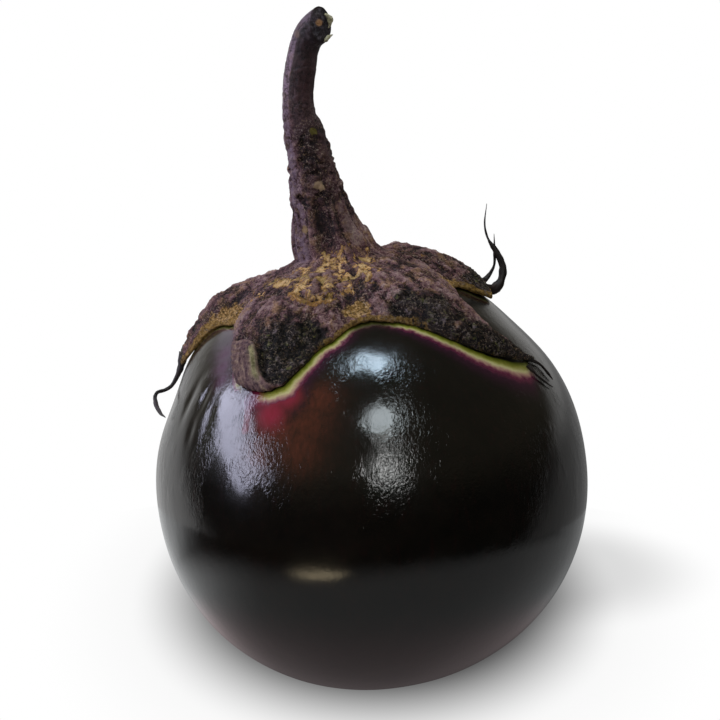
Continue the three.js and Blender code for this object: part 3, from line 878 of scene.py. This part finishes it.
def rod_points(shape, rows, sides, raggedness, first=0):
    """A closed flat rod along a centreline, with its faces and where each point is along it."""
    fractions = np.linspace(0, 1, rows)
    angle = np.linspace(0, 2 * math.pi, sides, endpoint=False)
    width, depth = (value_along(shape[name], fractions)[:, None] for name in ("across", "deep"))

    def radii(middles):
        return width * (1 + 0.22 * noise(middles, 2.5)[:, None]) * np.cos(angle), depth * np.sin(angle)

    rings, middles, along, right = rings_along(shape["points"], fractions, 4e-3, radii)
    rings = rings + raggedness * width[..., None] * layered(rings, 1.1, 2)[..., None] * right[:, None]
    points, faces = closed_surface(rings, middles[:1], middles[-1:] + ROD_POINT * along[-1:], first)
    growth = np.stack([np.tile(np.cos(angle), rows), np.tile(np.sin(angle), rows),
                       np.repeat(fractions * ROD_GROWTH, sides)], -1)
    return points, faces, np.concatenate([growth, growth[:1], growth[-1:]])


def build_calyx(surface, values, seam, columns, seam_normals, material):
    """The calyx, from the ring it shares with the stem out to its rim and back under it."""
    rings = np.concatenate([surface[seam:], underside(columns)])
    middle_under = np.array([[0, 0, FRUIT_HALF_HEIGHT + GAP]])
    points, faces = closed_surface(rings, rings[0].mean(0, keepdims=True), middle_under)

    def with_underside(value):
        whole = np.concatenate([value[seam:], np.repeat(value[-1:], UNDER_ROWS, axis=0)])
        flat = whole.reshape(-1, *whole.shape[2:])
        return np.concatenate([flat, flat[:1], flat[-1:]])

    values = {label: with_underside(value) for label, value in values.items()}
    calyx = make_piece("calyx_leaves", upright(points), [face[::-1] for face in faces], material, values,
                       (np.arange(rings.shape[1]), seam_normals))
    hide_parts("calyx")


def build_dried_tip(name, tip, material):
    """A curled thread or ribbon at the end of a sepal: a flat rod that tapers to a point."""
    points, faces, growth = rod_points(tip, 90, 16, 0.1)
    piece = make_piece(name, points, faces, material, {"growth": growth})


# Materials

# Small spots on the stem: place from the origin in millimetres, reach and colour.
STEM_SPOTS = [((-14.0, -4.5, 146.9), 1.1, "6f6424"), ((-13.0, -6.4, 133.4), 1.3, "b99a78"),
              ((-12.0, -6.3, 132.6), 0.9, "b99a78"), ((-16.4, -5.9, 121.8), 1.2, "a88a5a"),
              ((-18.2, -3.0, 171.4), 1.2, "8f7466"), ((-18.6, -2.8, 173.6), 0.9, "7d6a62"),
              ((-12.9, -2.6, 176.8), 0.6, "a09088")]

# The share of its reach in which a spot shows in full
SPOT_CORE = 0.6

# How quickly the fibres' pattern changes along them, as a share of how quickly it does across them
FIBRE_STRETCH = 0.09

# Radians that the wave behind the hem's lines turns through in one millimetre
HEM_LINE_TURN = 5.5

# Heights of the bumps, in metres
CRACKLE_BUMP = 0.00011
WAVE_BUMP = 0.00006
BARK_BUMP = 0.0006
THREAD_BUMP = 0.0002


def colour(code):
    """The linear values that a shader takes, from a colour as it looks on a screen."""
    channels = [int(code[place:place + 2], 16) / 255 for place in (0, 2, 4)]
    linear = [c / 12.92 if c <= 0.04045 else ((c + 0.055) / 1.055) ** 2.4 for c in channels]
    return (*linear, 1)


class Value:
    """What a node puts out. Sums, products and the like add the nodes that work them out."""

    def __init__(self, nodes, socket):
        self.nodes = nodes
        self.socket = socket

    def __add__(self, other):
        return self.nodes.maths("ADD", self, other)

    def __mul__(self, other):
        return self.nodes.maths("MULTIPLY", self, other)

    def __sub__(self, other):
        return self.nodes.maths("SUBTRACT", self, other)

    def __rsub__(self, other):
        return self.nodes.maths("SUBTRACT", other, self)

    def __truediv__(self, other):
        return self.nodes.maths("DIVIDE", self, other)

    def __rtruediv__(self, other):
        return self.nodes.maths("DIVIDE", other, self)

    __radd__ = __add__
    __rmul__ = __mul__

    def between(self, low, high, at_low=0.0, at_high=1.0):
        """Goes smoothly from at_low, where this is low, to at_high, where it is high."""
        inputs = {"Value": self, "From Min": low, "From Max": high, "To Min": at_low, "To Max": at_high}
        return self.nodes.out("MapRange", inputs, interpolation_type="SMOOTHSTEP")


class Nodes:
    """Adds nodes to one material or group. An input may be a number, a colour code or a Value."""

    def __init__(self, tree):
        self.tree = tree

    def add(self, kind, inputs=None, **settings):
        node = self.tree.nodes.new(kind if kind.startswith("NodeGroup") else "ShaderNode" + kind)
        for name, value in settings.items():
            setattr(node, name, value)
        for name, value in (inputs or {}).items():
            self.give(node.inputs[name], value)
        return node

    def out(self, kind, inputs=None, output=0, **settings):
        """One output of a new node."""
        return Value(self, self.add(kind, inputs, **settings).outputs[output])

    def give(self, socket, value):
        if isinstance(value, Value):
            self.tree.links.new(value.socket, socket)
        else:
            socket.default_value = colour(value) if isinstance(value, str) else value

    def show(self, kind, inputs, output="OutputMaterial"):
        """Adds the shader that is seen."""
        self.add(output, {"Surface": self.out(kind, inputs)})

    def by_name(self, sockets):
        return {socket.name: Value(self, socket) for socket in sockets}

    def placed(self, group, inputs):
        """The outputs of a group, by name."""
        return self.by_name(self.add("Group", inputs, node_tree=group).outputs)

    def value(self, name):
        return self.out("Attribute", output="Fac", attribute_name=name)

    def vector(self, name):
        return self.out("Attribute", output="Vector", attribute_name=name)

    def place(self):
        """The point on the object, in millimetres."""
        return self.scaled(self.out("TexCoord", output="Object"), (1 / MM, 1 / MM, 1 / MM))

    def part(self, vector, number):
        return self.out("SeparateXYZ", {0: vector}, number)

    def grey(self, value):
        return self.out("CombineColor", {0: value, 1: value, 2: value})

    def distance(self, vector, point=(0, 0, 0)):
        return self.out("VectorMath", {0: vector, 1: point}, "Value", operation="DISTANCE")

    def scaled(self, vector, factors):
        return self.out("VectorMath", {0: vector, 1: factors}, operation="MULTIPLY")

    def from_oval(self, place, middle, reach, turn=0.0):
        """Distance from the middle of an oval on the floor, which is 1 at its edge."""
        inputs = {"Vector": place, "Location": (*middle, 0), "Rotation": (0, 0, turn), "Scale": (*reach, 1)}
        return self.distance(self.out("Mapping", inputs, vector_type="TEXTURE"))

    def maths(self, operation, a, b=0.0):
        return self.out("Math", {0: a, 1: b}, operation=operation)

    def larger(self, a, b):
        return self.maths("MAXIMUM", a, b)

    def noise(self, vector, size, detail=3.0, roughness=0.55, distortion=0.0):
        inputs = {"Vector": vector, "Scale": 1 / size, "Detail": detail, "Roughness": roughness,
                  "Distortion": distortion}
        return self.out("TexNoise", inputs, "Fac")

    def blend(self, share, a, b, mode="MIX"):
        return self.out("Mix", {0: share, 6: a, 7: b}, 2, data_type="RGBA", blend_type=mode)

    def painted(self, base, coats):
        """A colour with others laid over it in turn, each by its share."""
        for share, coat in coats:
            base = self.blend(share, base, coat)
        return base

    def ramp(self, value, stops):
        node = self.add("ValToRGB", {"Fac": value})
        elements = node.color_ramp.elements
        while len(elements) < len(stops):
            elements.new(1)
        for element, (place, code) in zip(elements, stops):
            element.position = place
            element.color = colour(code)
        return Value(self, node.outputs["Color"])

    def bump(self, height, distance, strength=1.0, inputs=None):
        inputs = {"Height": height, "Distance": distance, "Strength": strength, **(inputs or {})}
        return self.out("Bump", inputs, "Normal")


def empty_nodes(owner):
    """The nodes of a material or of the world, with nothing in them."""
    owner.use_nodes = True
    owner.node_tree.nodes.clear()
    return Nodes(owner.node_tree)


def new_material(name, look):
    """A material with one shader, its nodes and the inputs of the shader."""
    material = bpy.data.materials.new(name)
    nodes = empty_nodes(material)
    shader = nodes.add("BsdfPrincipled", look)
    nodes.add("OutputMaterial", {"Surface": Value(nodes, shader.outputs[0])})
    return material, nodes, shader.inputs


def new_group(name, inputs, outputs):
    """An empty node group. Returns its nodes, its inputs as values and the sockets of its output."""
    tree = bpy.data.node_groups.new(name, "ShaderNodeTree")
    for label, kind, default in inputs:
        socket = tree.interface.new_socket(label, in_out="INPUT", socket_type="NodeSocket" + kind)
        if default is not None:
            socket.default_value = default
    for label in outputs:
        tree.interface.new_socket(label, in_out="OUTPUT", socket_type="NodeSocketFloat")
    nodes = Nodes(tree)
    return nodes, nodes.by_name(nodes.add("NodeGroupInput").outputs), nodes.add("NodeGroupOutput").inputs


def growth_lines_group():
    """Fine fibres that run along the lines of growth."""
    nodes, given, made = new_group(
        "growth_lines", [("Growth", "Vector", None), ("Radius", "Float", 12.0), ("Width", "Float", 1.0)],
        ["Lines"])
    radius = nodes.out("CombineXYZ", {0: given["Radius"], 1: given["Radius"], 2: FIBRE_STRETCH})
    nodes.give(made["Lines"], nodes.noise(nodes.scaled(given["Growth"], radius), given["Width"], 4.0, 0.6))
    return nodes.tree


def flakes_group():
    """Ragged flakes that cover more of the surface where their share is higher."""
    nodes, given, made = new_group(
        "cork_flakes", [("Place", "Vector", None), ("Share", "Float", 0.5), ("Size", "Float", 4.0)],
        ["Mask", "Tone"])
    ragged = nodes.noise(given["Place"], given["Size"], 11.0, 0.72, 0.6)
    level = ragged + given["Share"].between(0.05, 0.7, -0.17, 0.01)
    nodes.give(made["Mask"], level.between(0.5, 0.525))
    nodes.give(made["Tone"], level.between(0.5, 0.6))
    return nodes.tree


def grit_group():
    """Small crumbs with pits between them, and scattered ragged specks."""
    nodes, given, made = new_group(
        "dry_grit", [("Place", "Vector", None), ("Size", "Float", 0.8)], ["Height", "Specks", "Pits"])
    crumbs = nodes.out("TexVoronoi", {"Vector": given["Place"], "Scale": 1.0 / given["Size"]}, "Distance",
                       feature="F1")
    fine = nodes.noise(given["Place"], given["Size"], 8.0, 0.75, 0.5)
    nodes.give(made["Height"], (-0.12 * crumbs + fine).between(0.3, 0.58))
    nodes.give(made["Specks"], fine.between(0.55, 0.6))
    nodes.give(made["Pits"], fine.between(0.44, 0.38))
    return nodes.tree


def skin_material():
    """Glossy, almost black skin, crimson and brown below one sepal and paler beside the calyx."""
    look = {"Roughness": 0.2, "IOR": 1.45, "Coat Weight": 0.35, "Coat Roughness": 0.09, "Coat IOR": 1.45}
    material, nodes, shader = new_material("eggplant_skin", look)
    place, rim_distance, red_glow = nodes.place(), nodes.value("rim_distance"), nodes.value("red_glow")
    streaks = nodes.noise(nodes.scaled(place, (1, 1, 0.22)), 1.1, 4, 0.6)
    base = nodes.ramp(nodes.noise(place, 9, 5, 0.6), [(0.3, "0a0907"), (0.7, "14100c")])
    brown = nodes.value("brown_glow") * streaks.between(0.25, 0.75, 0.45, 1.0)
    red = (red_glow + streaks.between(0.2, 0.8, -0.12, 0.12)).between(0.0, 1.3)
    base = nodes.painted(base, [
        (0.85 * brown, "54281a"),
        (0.85 * red, nodes.blend(streaks, "b02c4c", "6d1a20")),
        (0.6 * nodes.value("purple_glow"), "4a1240"),
    ])

    wobble = nodes.noise(place, 1.6, 4).between(0.2, 0.8, -0.25, 0.25)
    fringe = streaks.between(0.25, 0.75, -0.25, 0.25)
    band_distance = (rim_distance + (wobble + fringe)) / nodes.value("band_width")
    band = nodes.ramp((band_distance + 2.0) / 8.0, [
        (0.0, "565a1c"), (0.26, "747a24"), (0.31, "9c9a45"), (0.36, "bdb27c"), (0.41, "a07868"),
        (0.46, "5e2038"), (0.56, "2e0f22"), (0.8, "120a0e")])
    reddened = red_glow.between(0.1, 0.6) * band_distance.between(1.5, 2.1)
    band_share = nodes.value("band") * band_distance.between(5.5, 2.0) * (1.0 - reddened)
    scar_wobble = nodes.noise(place, 1.2, 5).between(0, 1, -0.6, 0.6)
    scar = (nodes.value("from_scar") + scar_wobble).between(SCAR_RADIUS + 0.5, SCAR_RADIUS - 0.3)
    base = nodes.painted(base, [
        (band_share, band),
        # Painted shade: the skin under the calyx is painted dark, as it lies in the calyx's shade.
        (rim_distance.between(0.0, -0.5), "15100c"),
        (scar, nodes.ramp(nodes.noise(place, 0.7, 6, 0.7), [(0.3, "4a3423"), (0.7, "a98555")])),
    ])
    nodes.give(shader["Base Color"], base)

    pale = nodes.value("band") * band_distance.between(2.6, 1.2)
    smear = nodes.noise(place, 14, 4, 0.6).between(0.35, 0.7, 0.12, 0.19) + 0.2 * pale
    nodes.give(shader["Roughness"], nodes.larger(smear, 0.75 * scar))
    nodes.give(shader["Coat Weight"], 0.35 * (1.0 - nodes.larger(scar, 0.8 * pale)))

    up = nodes.part(place, 2)
    crackled = nodes.noise(nodes.scaled(place, (1, 1, 0.6)), 11, 3).between(0.44, 0.58)
    crackled = crackled * up.between(46, 60, 0.15, 0.9) * up.between(90, 98, 1.0, 0.3)
    crackle = nodes.noise(nodes.scaled(place, (1, 1, 0.7)), 0.9, 2, 0.6, 1.2)
    brushed = nodes.noise(nodes.scaled(place, (1, 1, 0.12)), 0.35, 2, 0.6)
    waves = nodes.noise(nodes.scaled(place, (1, 1, 0.6)), 3.2, 2)
    fine = nodes.bump(0.9 * (crackle * crackled) + 0.14 * brushed, CRACKLE_BUMP)
    normal = nodes.bump(waves, WAVE_BUMP, 0.5, {"Normal": fine})
    nodes.give(shader["Normal"], normal)
    nodes.give(shader["Coat Normal"], normal)
    return material


def bark_patterns(nodes, groups):
    """The patterns that the coats of the bark are made from."""
    place, growth, height = nodes.place(), nodes.vector("growth"), nodes.value("height")
    on_stem = height.between(-2, 5)
    ridges, lines, hairs = (
        nodes.placed(groups["lines"], {"Growth": growth, "Radius": radius, "Width": width})["Lines"]
        for radius, width in ((5.0, 1.0), (14.0, 0.9), (26.0, 0.55)))
    lines = nodes.blend(0.7 * on_stem, nodes.grey(lines), nodes.grey(ridges))
    grit, fine_grit = (nodes.placed(groups["grit"], {"Place": place, "Size": size}) for size in (1.4, 0.5))
    cloud = nodes.noise(place, 4.5, 5, 0.62)
    # Painted shade and painted highlight: through the grit heights and the relief, the tone is darker in
    # hollows and creases and lighter on crumbs and ridges, over random clouds and fibre lines.
    tone = (0.16 * cloud.between(0.32, 0.68) + 0.35 * lines + 0.07 * on_stem + 0.26 * grit["Height"]
            + 0.26 * fine_grit["Height"] + nodes.value("relief").between(-0.6, 0.6, -0.3, 0.24))
    edge_noise = nodes.noise(place, 1.6, 6, 0.65).between(0.3, 0.7, -0.4, 0.25)
    dark_level = nodes.value("dark") + nodes.noise(place, 2.6, 7, 0.65).between(0.2, 0.8, -0.5, 0.5)
    flakes = nodes.placed(groups["flakes"], {"Place": nodes.scaled(place, (1, 1, 0.75)),
                                             "Share": nodes.value("cork"), "Size": 3.4})
    torn_line = (nodes.value("step_line") + 0.8 * edge_noise).between(0.35, 0.5)
    return SimpleNamespace(
        place=place, growth=growth, height=height, on_stem=on_stem, ridges=ridges, lines=lines,
        hairs=hairs, grit=grit, fine_grit=fine_grit, cloud=cloud, tone=tone, edge_noise=edge_noise,
        upper=0.85 * (height + cloud.between(0.3, 0.7, -5, 5)).between(32, 44),
        dark=dark_level.between(0.35, 0.8),
        flakes=nodes.larger(flakes["Mask"], torn_line) * fine_grit["Pits"].between(0.7, 0.3),
        flake_tone=flakes["Tone"],
    )


def stem_coats(nodes, bark):
    """Brown clouds and pale hairs, a painted lilac highlight down the lit left side, painted shade on the
    right side and flank, and a smoother, nearly black top.
    """
    warm = nodes.noise(bark.place, 3.0, 7, 0.7).between(0.5, 0.6)
    side, front = (nodes.part(bark.growth, number) for number in (0, 1))
    # Painted highlight: the lilac streak of a lamp's sheen down the stem's lit left side is painted into its
    # colour.
    painted_sheen_streak = (-0.86 * side + -0.5 * front).between(0.84, 0.97) * bark.tone.between(0.35, 0.6)
    facing_right = 0.75 * side + -0.65 * front
    # Painted shade: the stem's right side and the right flank of its foot are darkened, as the light falls
    # from the left.
    painted_right_shade = facing_right.between(0.0, 0.55) * bark.height.between(12, 30)
    painted_flank_shade = facing_right.between(0.1, 0.6) * bark.height.between(2, 9)
    top = nodes.ramp(0.25 * bark.cloud.between(0.3, 0.7) + 0.75 * bark.ridges,
                     [(0.25, "0e0a09"), (0.45, "241a18"), (0.6, "4a3a3c"), (0.8, "8c7c96")])
    return [
        (0.55 * warm, nodes.ramp(bark.tone, [(0.2, "3a2818"), (0.75, "b88c58")])),
        (0.4 * bark.hairs.between(0.58, 0.7), "8f7a80"),
        (0.6 * (painted_sheen_streak * bark.on_stem), "85748c"),
        (bark.upper * painted_sheen_streak.between(0.9, 0.2), top),
        (0.78 * painted_right_shade, "140e0c"),
        (0.6 * painted_flank_shade, nodes.ramp(bark.tone, [(0.3, "1c1012"), (0.7, "5a3c40")])),
    ]


def dried_coats(nodes, bark):
    """Blackened crumbs with painted shade between them and painted highlights on them, ochre webs in the
    notches, a tan edge, and cork flakes and specks.
    """
    place = bark.place
    # Painted shade and painted highlight: the crumbs' colour is darker where the grit is low and lighter
    # where it is high.
    crumb_shade_tone = 0.55 * bark.grit["Height"] + 0.45 * bark.fine_grit["Height"]
    web_level = nodes.value("web") + nodes.noise(place, 1.8, 6, 0.65).between(0.2, 0.8, -0.35, 0.35)
    web_tone = 0.7 * nodes.noise(place, 0.7, 7, 0.75).between(0.38, 0.62) + 0.3 * bark.lines
    edge = (nodes.value("edge_tan") + bark.edge_noise).between(0.3, 0.55)
    cork_tone = 0.7 * nodes.noise(place, 0.8, 6, 0.75) + 0.3 * bark.flake_tone
    cork = nodes.ramp(cork_tone, [(0.3, "8a602c"), (0.42, "bd8a48"), (0.54, "deae6c"), (0.7, "f4d09a")])
    olive = nodes.noise(place, 5, 4).between(0.5, 0.62)
    specks = bark.fine_grit["Specks"] * nodes.noise(place, 4.5, 3).between(0.36, 0.52)
    crumbs = bark.grit["Specks"] * (bark.dark * bark.cloud.between(0.36, 0.52))
    return [
        (0.9 * bark.dark,
         nodes.ramp(crumb_shade_tone, [(0.2, "060505"), (0.5, "15120f"), (0.7, "2b2620"), (0.9, "574d44")])),
        (0.9 * web_level.between(0.35, 0.6),
         nodes.ramp(web_tone, [(0.12, "33220c"), (0.38, "7c5a22"), (0.62, "b08440"), (0.9, "e2be88")])),
        (0.85 * edge,
         nodes.ramp(nodes.noise(place, 0.9, 5, 0.7), [(0.38, "5c461e"), (0.5, "9c7836"), (0.62, "c8a05c")])),
        (0.92 * bark.flakes, nodes.blend(0.5 * olive, cork, "8a7a38")),
        (0.75 * (specks * bark.height.between(45, 30)),
         nodes.ramp(bark.cloud, [(0.42, "a8844c"), (0.58, "b5a292")])),
        (0.7 * crumbs, nodes.ramp(nodes.noise(place, 3, 3), [(0.45, "6f7032"), (0.55, "8b7a80")])),
    ]


def hem_coats(nodes, bark):
    """The rolled hem of the front-left sepal, with lengthwise lines and a pale olive stripe."""
    lines = nodes.maths("SINE", HEM_LINE_TURN * nodes.value("hem_across"))
    tone = 0.6 * nodes.noise(bark.place, 1.2, 6, 0.7) + 0.4 * bark.hairs + 0.025 * lines
    hem = nodes.painted(
        nodes.ramp(tone, [(0.36, "2a1a1e"), (0.46, "6a4e52"), (0.56, "94786c"), (0.68, "c0a98a")]),
        [(0.85 * nodes.value("hem_stripe"), nodes.ramp(tone, [(0.38, "8a8450"), (0.6, "c8c08c")])),
         (0.6 * nodes.value("hem_edge"), "a8827a")])
    return [(nodes.value("hem").between(0.3, 0.6), hem)]


def end_coats(nodes, bark):
    """Dark pits, partly painted shade in the low spots of the grit, single spots of the stem, its dark cut
    end with the pale pith, and torn chips.
    """
    cut = nodes.value("cut")
    # Partly painted shade: the stem's dark pits are placed where the grit's bump is lowest.
    coats = [(0.55 * (bark.fine_grit["Pits"] * bark.height.between(40, 28)), "0c0808")]
    for middle, reach, code in STEM_SPOTS:
        level = nodes.distance(bark.place, middle) + 1.2 * bark.edge_noise
        coats.append((0.8 * level.between(reach, SPOT_CORE * reach), code))
    return coats + [
        (0.85 * nodes.larger(cut.between(0.1, 0.8), bark.height.between(48, 66)),
         nodes.ramp(nodes.noise(bark.place, 1.2, 7, 0.7),
                    [(0.38, "121012"), (0.52, "2e2a30"), (0.66, "625c62")])),
        (nodes.value("pith") * cut.between(0.1, 0.5),
         nodes.ramp(nodes.noise(bark.place, 0.6, 4), [(0.3, "9a6a44"), (0.7, "cc9c70")])),
        (cut.between(-0.4, -0.8),
         nodes.ramp(nodes.noise(bark.place, 0.6, 5), [(0.3, "8f8a68"), (0.5, "cfc6a0"), (0.7, "ece4c8")])),
    ]


def bark_material(name, groups):
    """Dry purple-brown bark with lilac lines, tan cork, ochre webs and blackened crumbly patches, with
    painted shade in its creases and painted highlights on its ridges.
    """
    look = {"IOR": 1.45, "Roughness": 0.7, "Specular IOR Level": 0.3}
    material, nodes, shader = new_material(name, look)
    bark = bark_patterns(nodes, groups)
    base = nodes.ramp(bark.tone, [(0.14, "140c0d"), (0.3, "3a2427"), (0.5, "6c474a"), (0.68, "927070"),
                                  (0.88, "ab8f88")])
    for coats in (stem_coats, dried_coats, hem_coats, end_coats):
        base = nodes.painted(base, coats(nodes, bark))
    nodes.give(shader["Base Color"], base)
    nodes.give(shader["Roughness"], nodes.painted(bark.cloud.between(0.3, 0.7, 0.55, 0.75), [
        (bark.flakes, (0.9, 0.9, 0.9, 1)),
        (bark.dark, (0.5, 0.5, 0.5, 1)),
        (bark.upper, (0.38, 0.38, 0.38, 1)),
    ]))
    raised = (bark.lines * (0.5 * bark.on_stem + 0.6) + bark.grit["Height"] * (0.5 * bark.dark + 0.5)
              + 0.35 * bark.flakes + 0.12 * bark.fine_grit["Height"])
    nodes.give(shader["Normal"], nodes.bump(raised * (1.0 - 0.75 * bark.upper), BARK_BUMP))
    return material


def thread_material(groups):
    """Hard, dark, dried ends of the sepals."""
    material, nodes, shader = new_material("dried_thread", {"IOR": 1.45, "Roughness": 0.5})
    fibres = {"Growth": nodes.vector("growth"), "Radius": 1.2, "Width": 0.6}
    lines = nodes.placed(groups["lines"], fibres)["Lines"]
    tone = 0.6 * lines + 0.4 * nodes.noise(nodes.place(), 2.5, 4)
    nodes.give(shader["Base Color"], nodes.ramp(tone, [(0.35, "0e0b0a"), (0.55, "241a18"), (0.75, "4d3730")]))
    nodes.give(shader["Roughness"], tone.between(0.3, 0.7, 0.35, 0.6))
    nodes.give(shader["Normal"], nodes.bump(lines, THREAD_BUMP, 0.6))
    return material


# Studio

VIEW_TARGET = Vector((0.98, 0, 53.4)) * MM
CAMERA_PLACE = Vector((-2.2, -480.6, 191.1)) * MM
CAMERA_DOWN = math.radians(12.3)
CAMERA_LENS = 93.05
CAMERA_SENSOR = 36
FLOOR_RADIUS = 0.17
FLOOR_SIDES = 128
FLOOR_HEIGHT = -0.00002


def add_camera():
    data = bpy.data.cameras.new("camera")
    data.lens = CAMERA_LENS
    data.sensor_width = CAMERA_SENSOR
    camera = add_object("camera", data)
    camera.location = CAMERA_PLACE
    camera.rotation_euler = (math.pi / 2 - CAMERA_DOWN, 0, 0)
    bpy.context.scene.camera = camera


def floor_material():
    """White paper. The camera sees a painted soft shadow under the fruit, which reaches further behind it
    than before it. The skin mirrors paper darkened with painted shade, and a painted warm patch of light in
    front."""
    material = bpy.data.materials.new("white_floor")
    nodes = empty_nodes(material)
    place = nodes.place()
    across, away = nodes.part(place, 0), nodes.part(place, 1)
    # Painted shadow: an oval of darker colour on the floor, not a shadow that the fruit casts.
    from_shadow = nodes.from_oval(place, (2.7, 73.7), (59.6, 102.8))
    shadow = from_shadow.between(0.7, 1.28) * from_shadow.between(1.03, 1.75, 0.93, 1.0)
    shadow = nodes.larger(shadow, away.between(40, 125, 0.045, 0.8))
    shadow = shadow * nodes.distance(place, (55, 85, 0)).between(25, 60, 0.75, 1.0)
    shadow = nodes.larger(shadow, away.between(110, 190))
    # Painted light and shade that the skin mirrors: darker paper round the fruit, a warm tint near it and a
    # painted warm patch of light in front.
    lit = nodes.larger(nodes.distance(place, (25, 0, 0)).between(168, 112), away.between(-20, 60))
    level = (away - across).between(0, 100, 0.29, 0.72) * across.between(150, 420, 1.0, 0.3)
    tint = nodes.blend(nodes.distance(place).between(45, 80), (1.14, 0.96, 0.98, 1), (0.97, 0.99, 1.0, 1))
    around = nodes.blend(1.0, nodes.grey(lit * level * shadow), tint, "MULTIPLY")
    painted_warm_light = nodes.from_oval(place, (-48, -118), (30, 11), -0.5).between(1.2, 0.3)
    mirrored = nodes.blend(painted_warm_light, around, (3.5, 2.9, 1.9, 1))
    seen = nodes.out("LightPath", output="Is Camera Ray")
    nodes.show("Emission", {"Color": nodes.blend(seen, mirrored, nodes.grey(shadow))})
    return material


def add_floor():
    turn = np.linspace(0, 2 * math.pi, FLOOR_SIDES, endpoint=False)
    ring = np.stack([FLOOR_RADIUS * np.cos(turn), FLOOR_RADIUS * np.sin(turn), 0 * turn + FLOOR_HEIGHT], -1)
    mesh = bpy.data.meshes.new("floor")
    mesh.from_pydata(ring.tolist(), [], [list(range(FLOOR_SIDES))])
    mesh.materials.append(floor_material())
    floor = add_object("floor", mesh)


def add_light(name, azimuth, elevation, width, height, brightness, tint="ffffff", roll=0.0,
              round_face=False, distance=0.9):
    """A soft light seen from the fruit in the given direction. Azimuth 0 is towards the camera.
    Width, height and roll are angles in degrees, and brightness is that of its face."""
    turn, rise, tilt = math.radians(azimuth), math.radians(elevation), math.radians(roll)
    outward = Vector((math.sin(turn) * math.cos(rise), -math.cos(turn) * math.cos(rise), math.sin(rise)))
    sideways = Vector((math.cos(turn), math.sin(turn), 0))
    level = sideways * math.cos(tilt) + outward.cross(sideways) * math.sin(tilt)
    data = bpy.data.lights.new(name, "AREA")
    data.shape = "ELLIPSE" if round_face else "RECTANGLE"
    data.size = 2 * distance * math.tan(math.radians(width) / 2)
    data.size_y = 2 * distance * math.tan(math.radians(height) / 2)
    area = data.size * data.size_y * (math.pi / 4 if round_face else 1)
    data.energy = brightness * math.pi * area
    data.color = colour(tint)[:3]
    light = add_object(name, data)
    light.location = VIEW_TARGET + outward * distance
    light.rotation_euler = Matrix((level, outward.cross(level), outward)).transposed().to_euler()
    light.visible_camera = False
    return light


def add_world():
    """White behind the object and a dim room round the camera, so that the dark skin stays dark."""
    world = bpy.data.worlds.new("studio")
    bpy.context.scene.world = world
    nodes = empty_nodes(world)
    direction = nodes.out("TexCoord", output="Generated")
    across, away, upward = (nodes.part(direction, number) for number in range(3))
    rising = away - upward * (0.2 * across + 1.0) + 0.035 * across
    over_horizon = nodes.larger(upward, -0.2 * across)
    behind = rising.between(0.22, 0.65) * (-0.15 * across + 0.53)
    behind = behind * over_horizon.between(-0.04, 0.08, 0.4, 1.0)
    room = nodes.ramp(upward.between(-0.1, 0.4), [(0.0, "1a1a1a"), (1.0, "625d50")])
    room = nodes.blend(1.0, room, nodes.grey(across.between(0.1, -0.7, 0.75, 1.5)), "MULTIPLY")
    shown = nodes.blend(1.0, room, nodes.grey(behind), "ADD")
    seen = nodes.out("LightPath", output="Is Camera Ray")
    nodes.show("Background", {"Color": nodes.blend(seen, shown, (1, 1, 1, 1))}, "OutputWorld")


def add_studio():
    add_camera()
    add_floor()
    add_world()
    add_light("left_window", -84, 21, 50, 18, 8.4, tint="e2e4ff", roll=-36)
    add_light("left_strip", -132, 30, 30, 8, 0.8, tint="f0e5ff")
    add_light("top_light", -12, 82.5, 14, 11, 17.0, tint="d4ecff", distance=0.8)
    add_light("ceiling", 140, 62, 60, 60, 1.1).visible_glossy = False
    add_light("front_lamp", 5, 48.5, 14, 15, 9.0, tint="eefaff", round_face=True)
    add_light("link_lamp", 7, 33, 9, 17, 2.6)
    add_light("low_lamp", 6.5, 19.5, 11, 12, 11.0, round_face=True)


bpy.context.scene.view_settings.view_transform = "Standard"
groups = {"lines": growth_lines_group(), "flakes": flakes_group(), "grit": grit_group()}
add_studio()
build_fruit(skin_material())
build_calyx_and_stem(bark_material("calyx_leather", groups), bark_material("stem_leather", groups))
thread = thread_material(groups)
for tip_name, tip_shape in DRIED_TIPS.items():
    build_dried_tip(tip_name, tip_shape, thread)
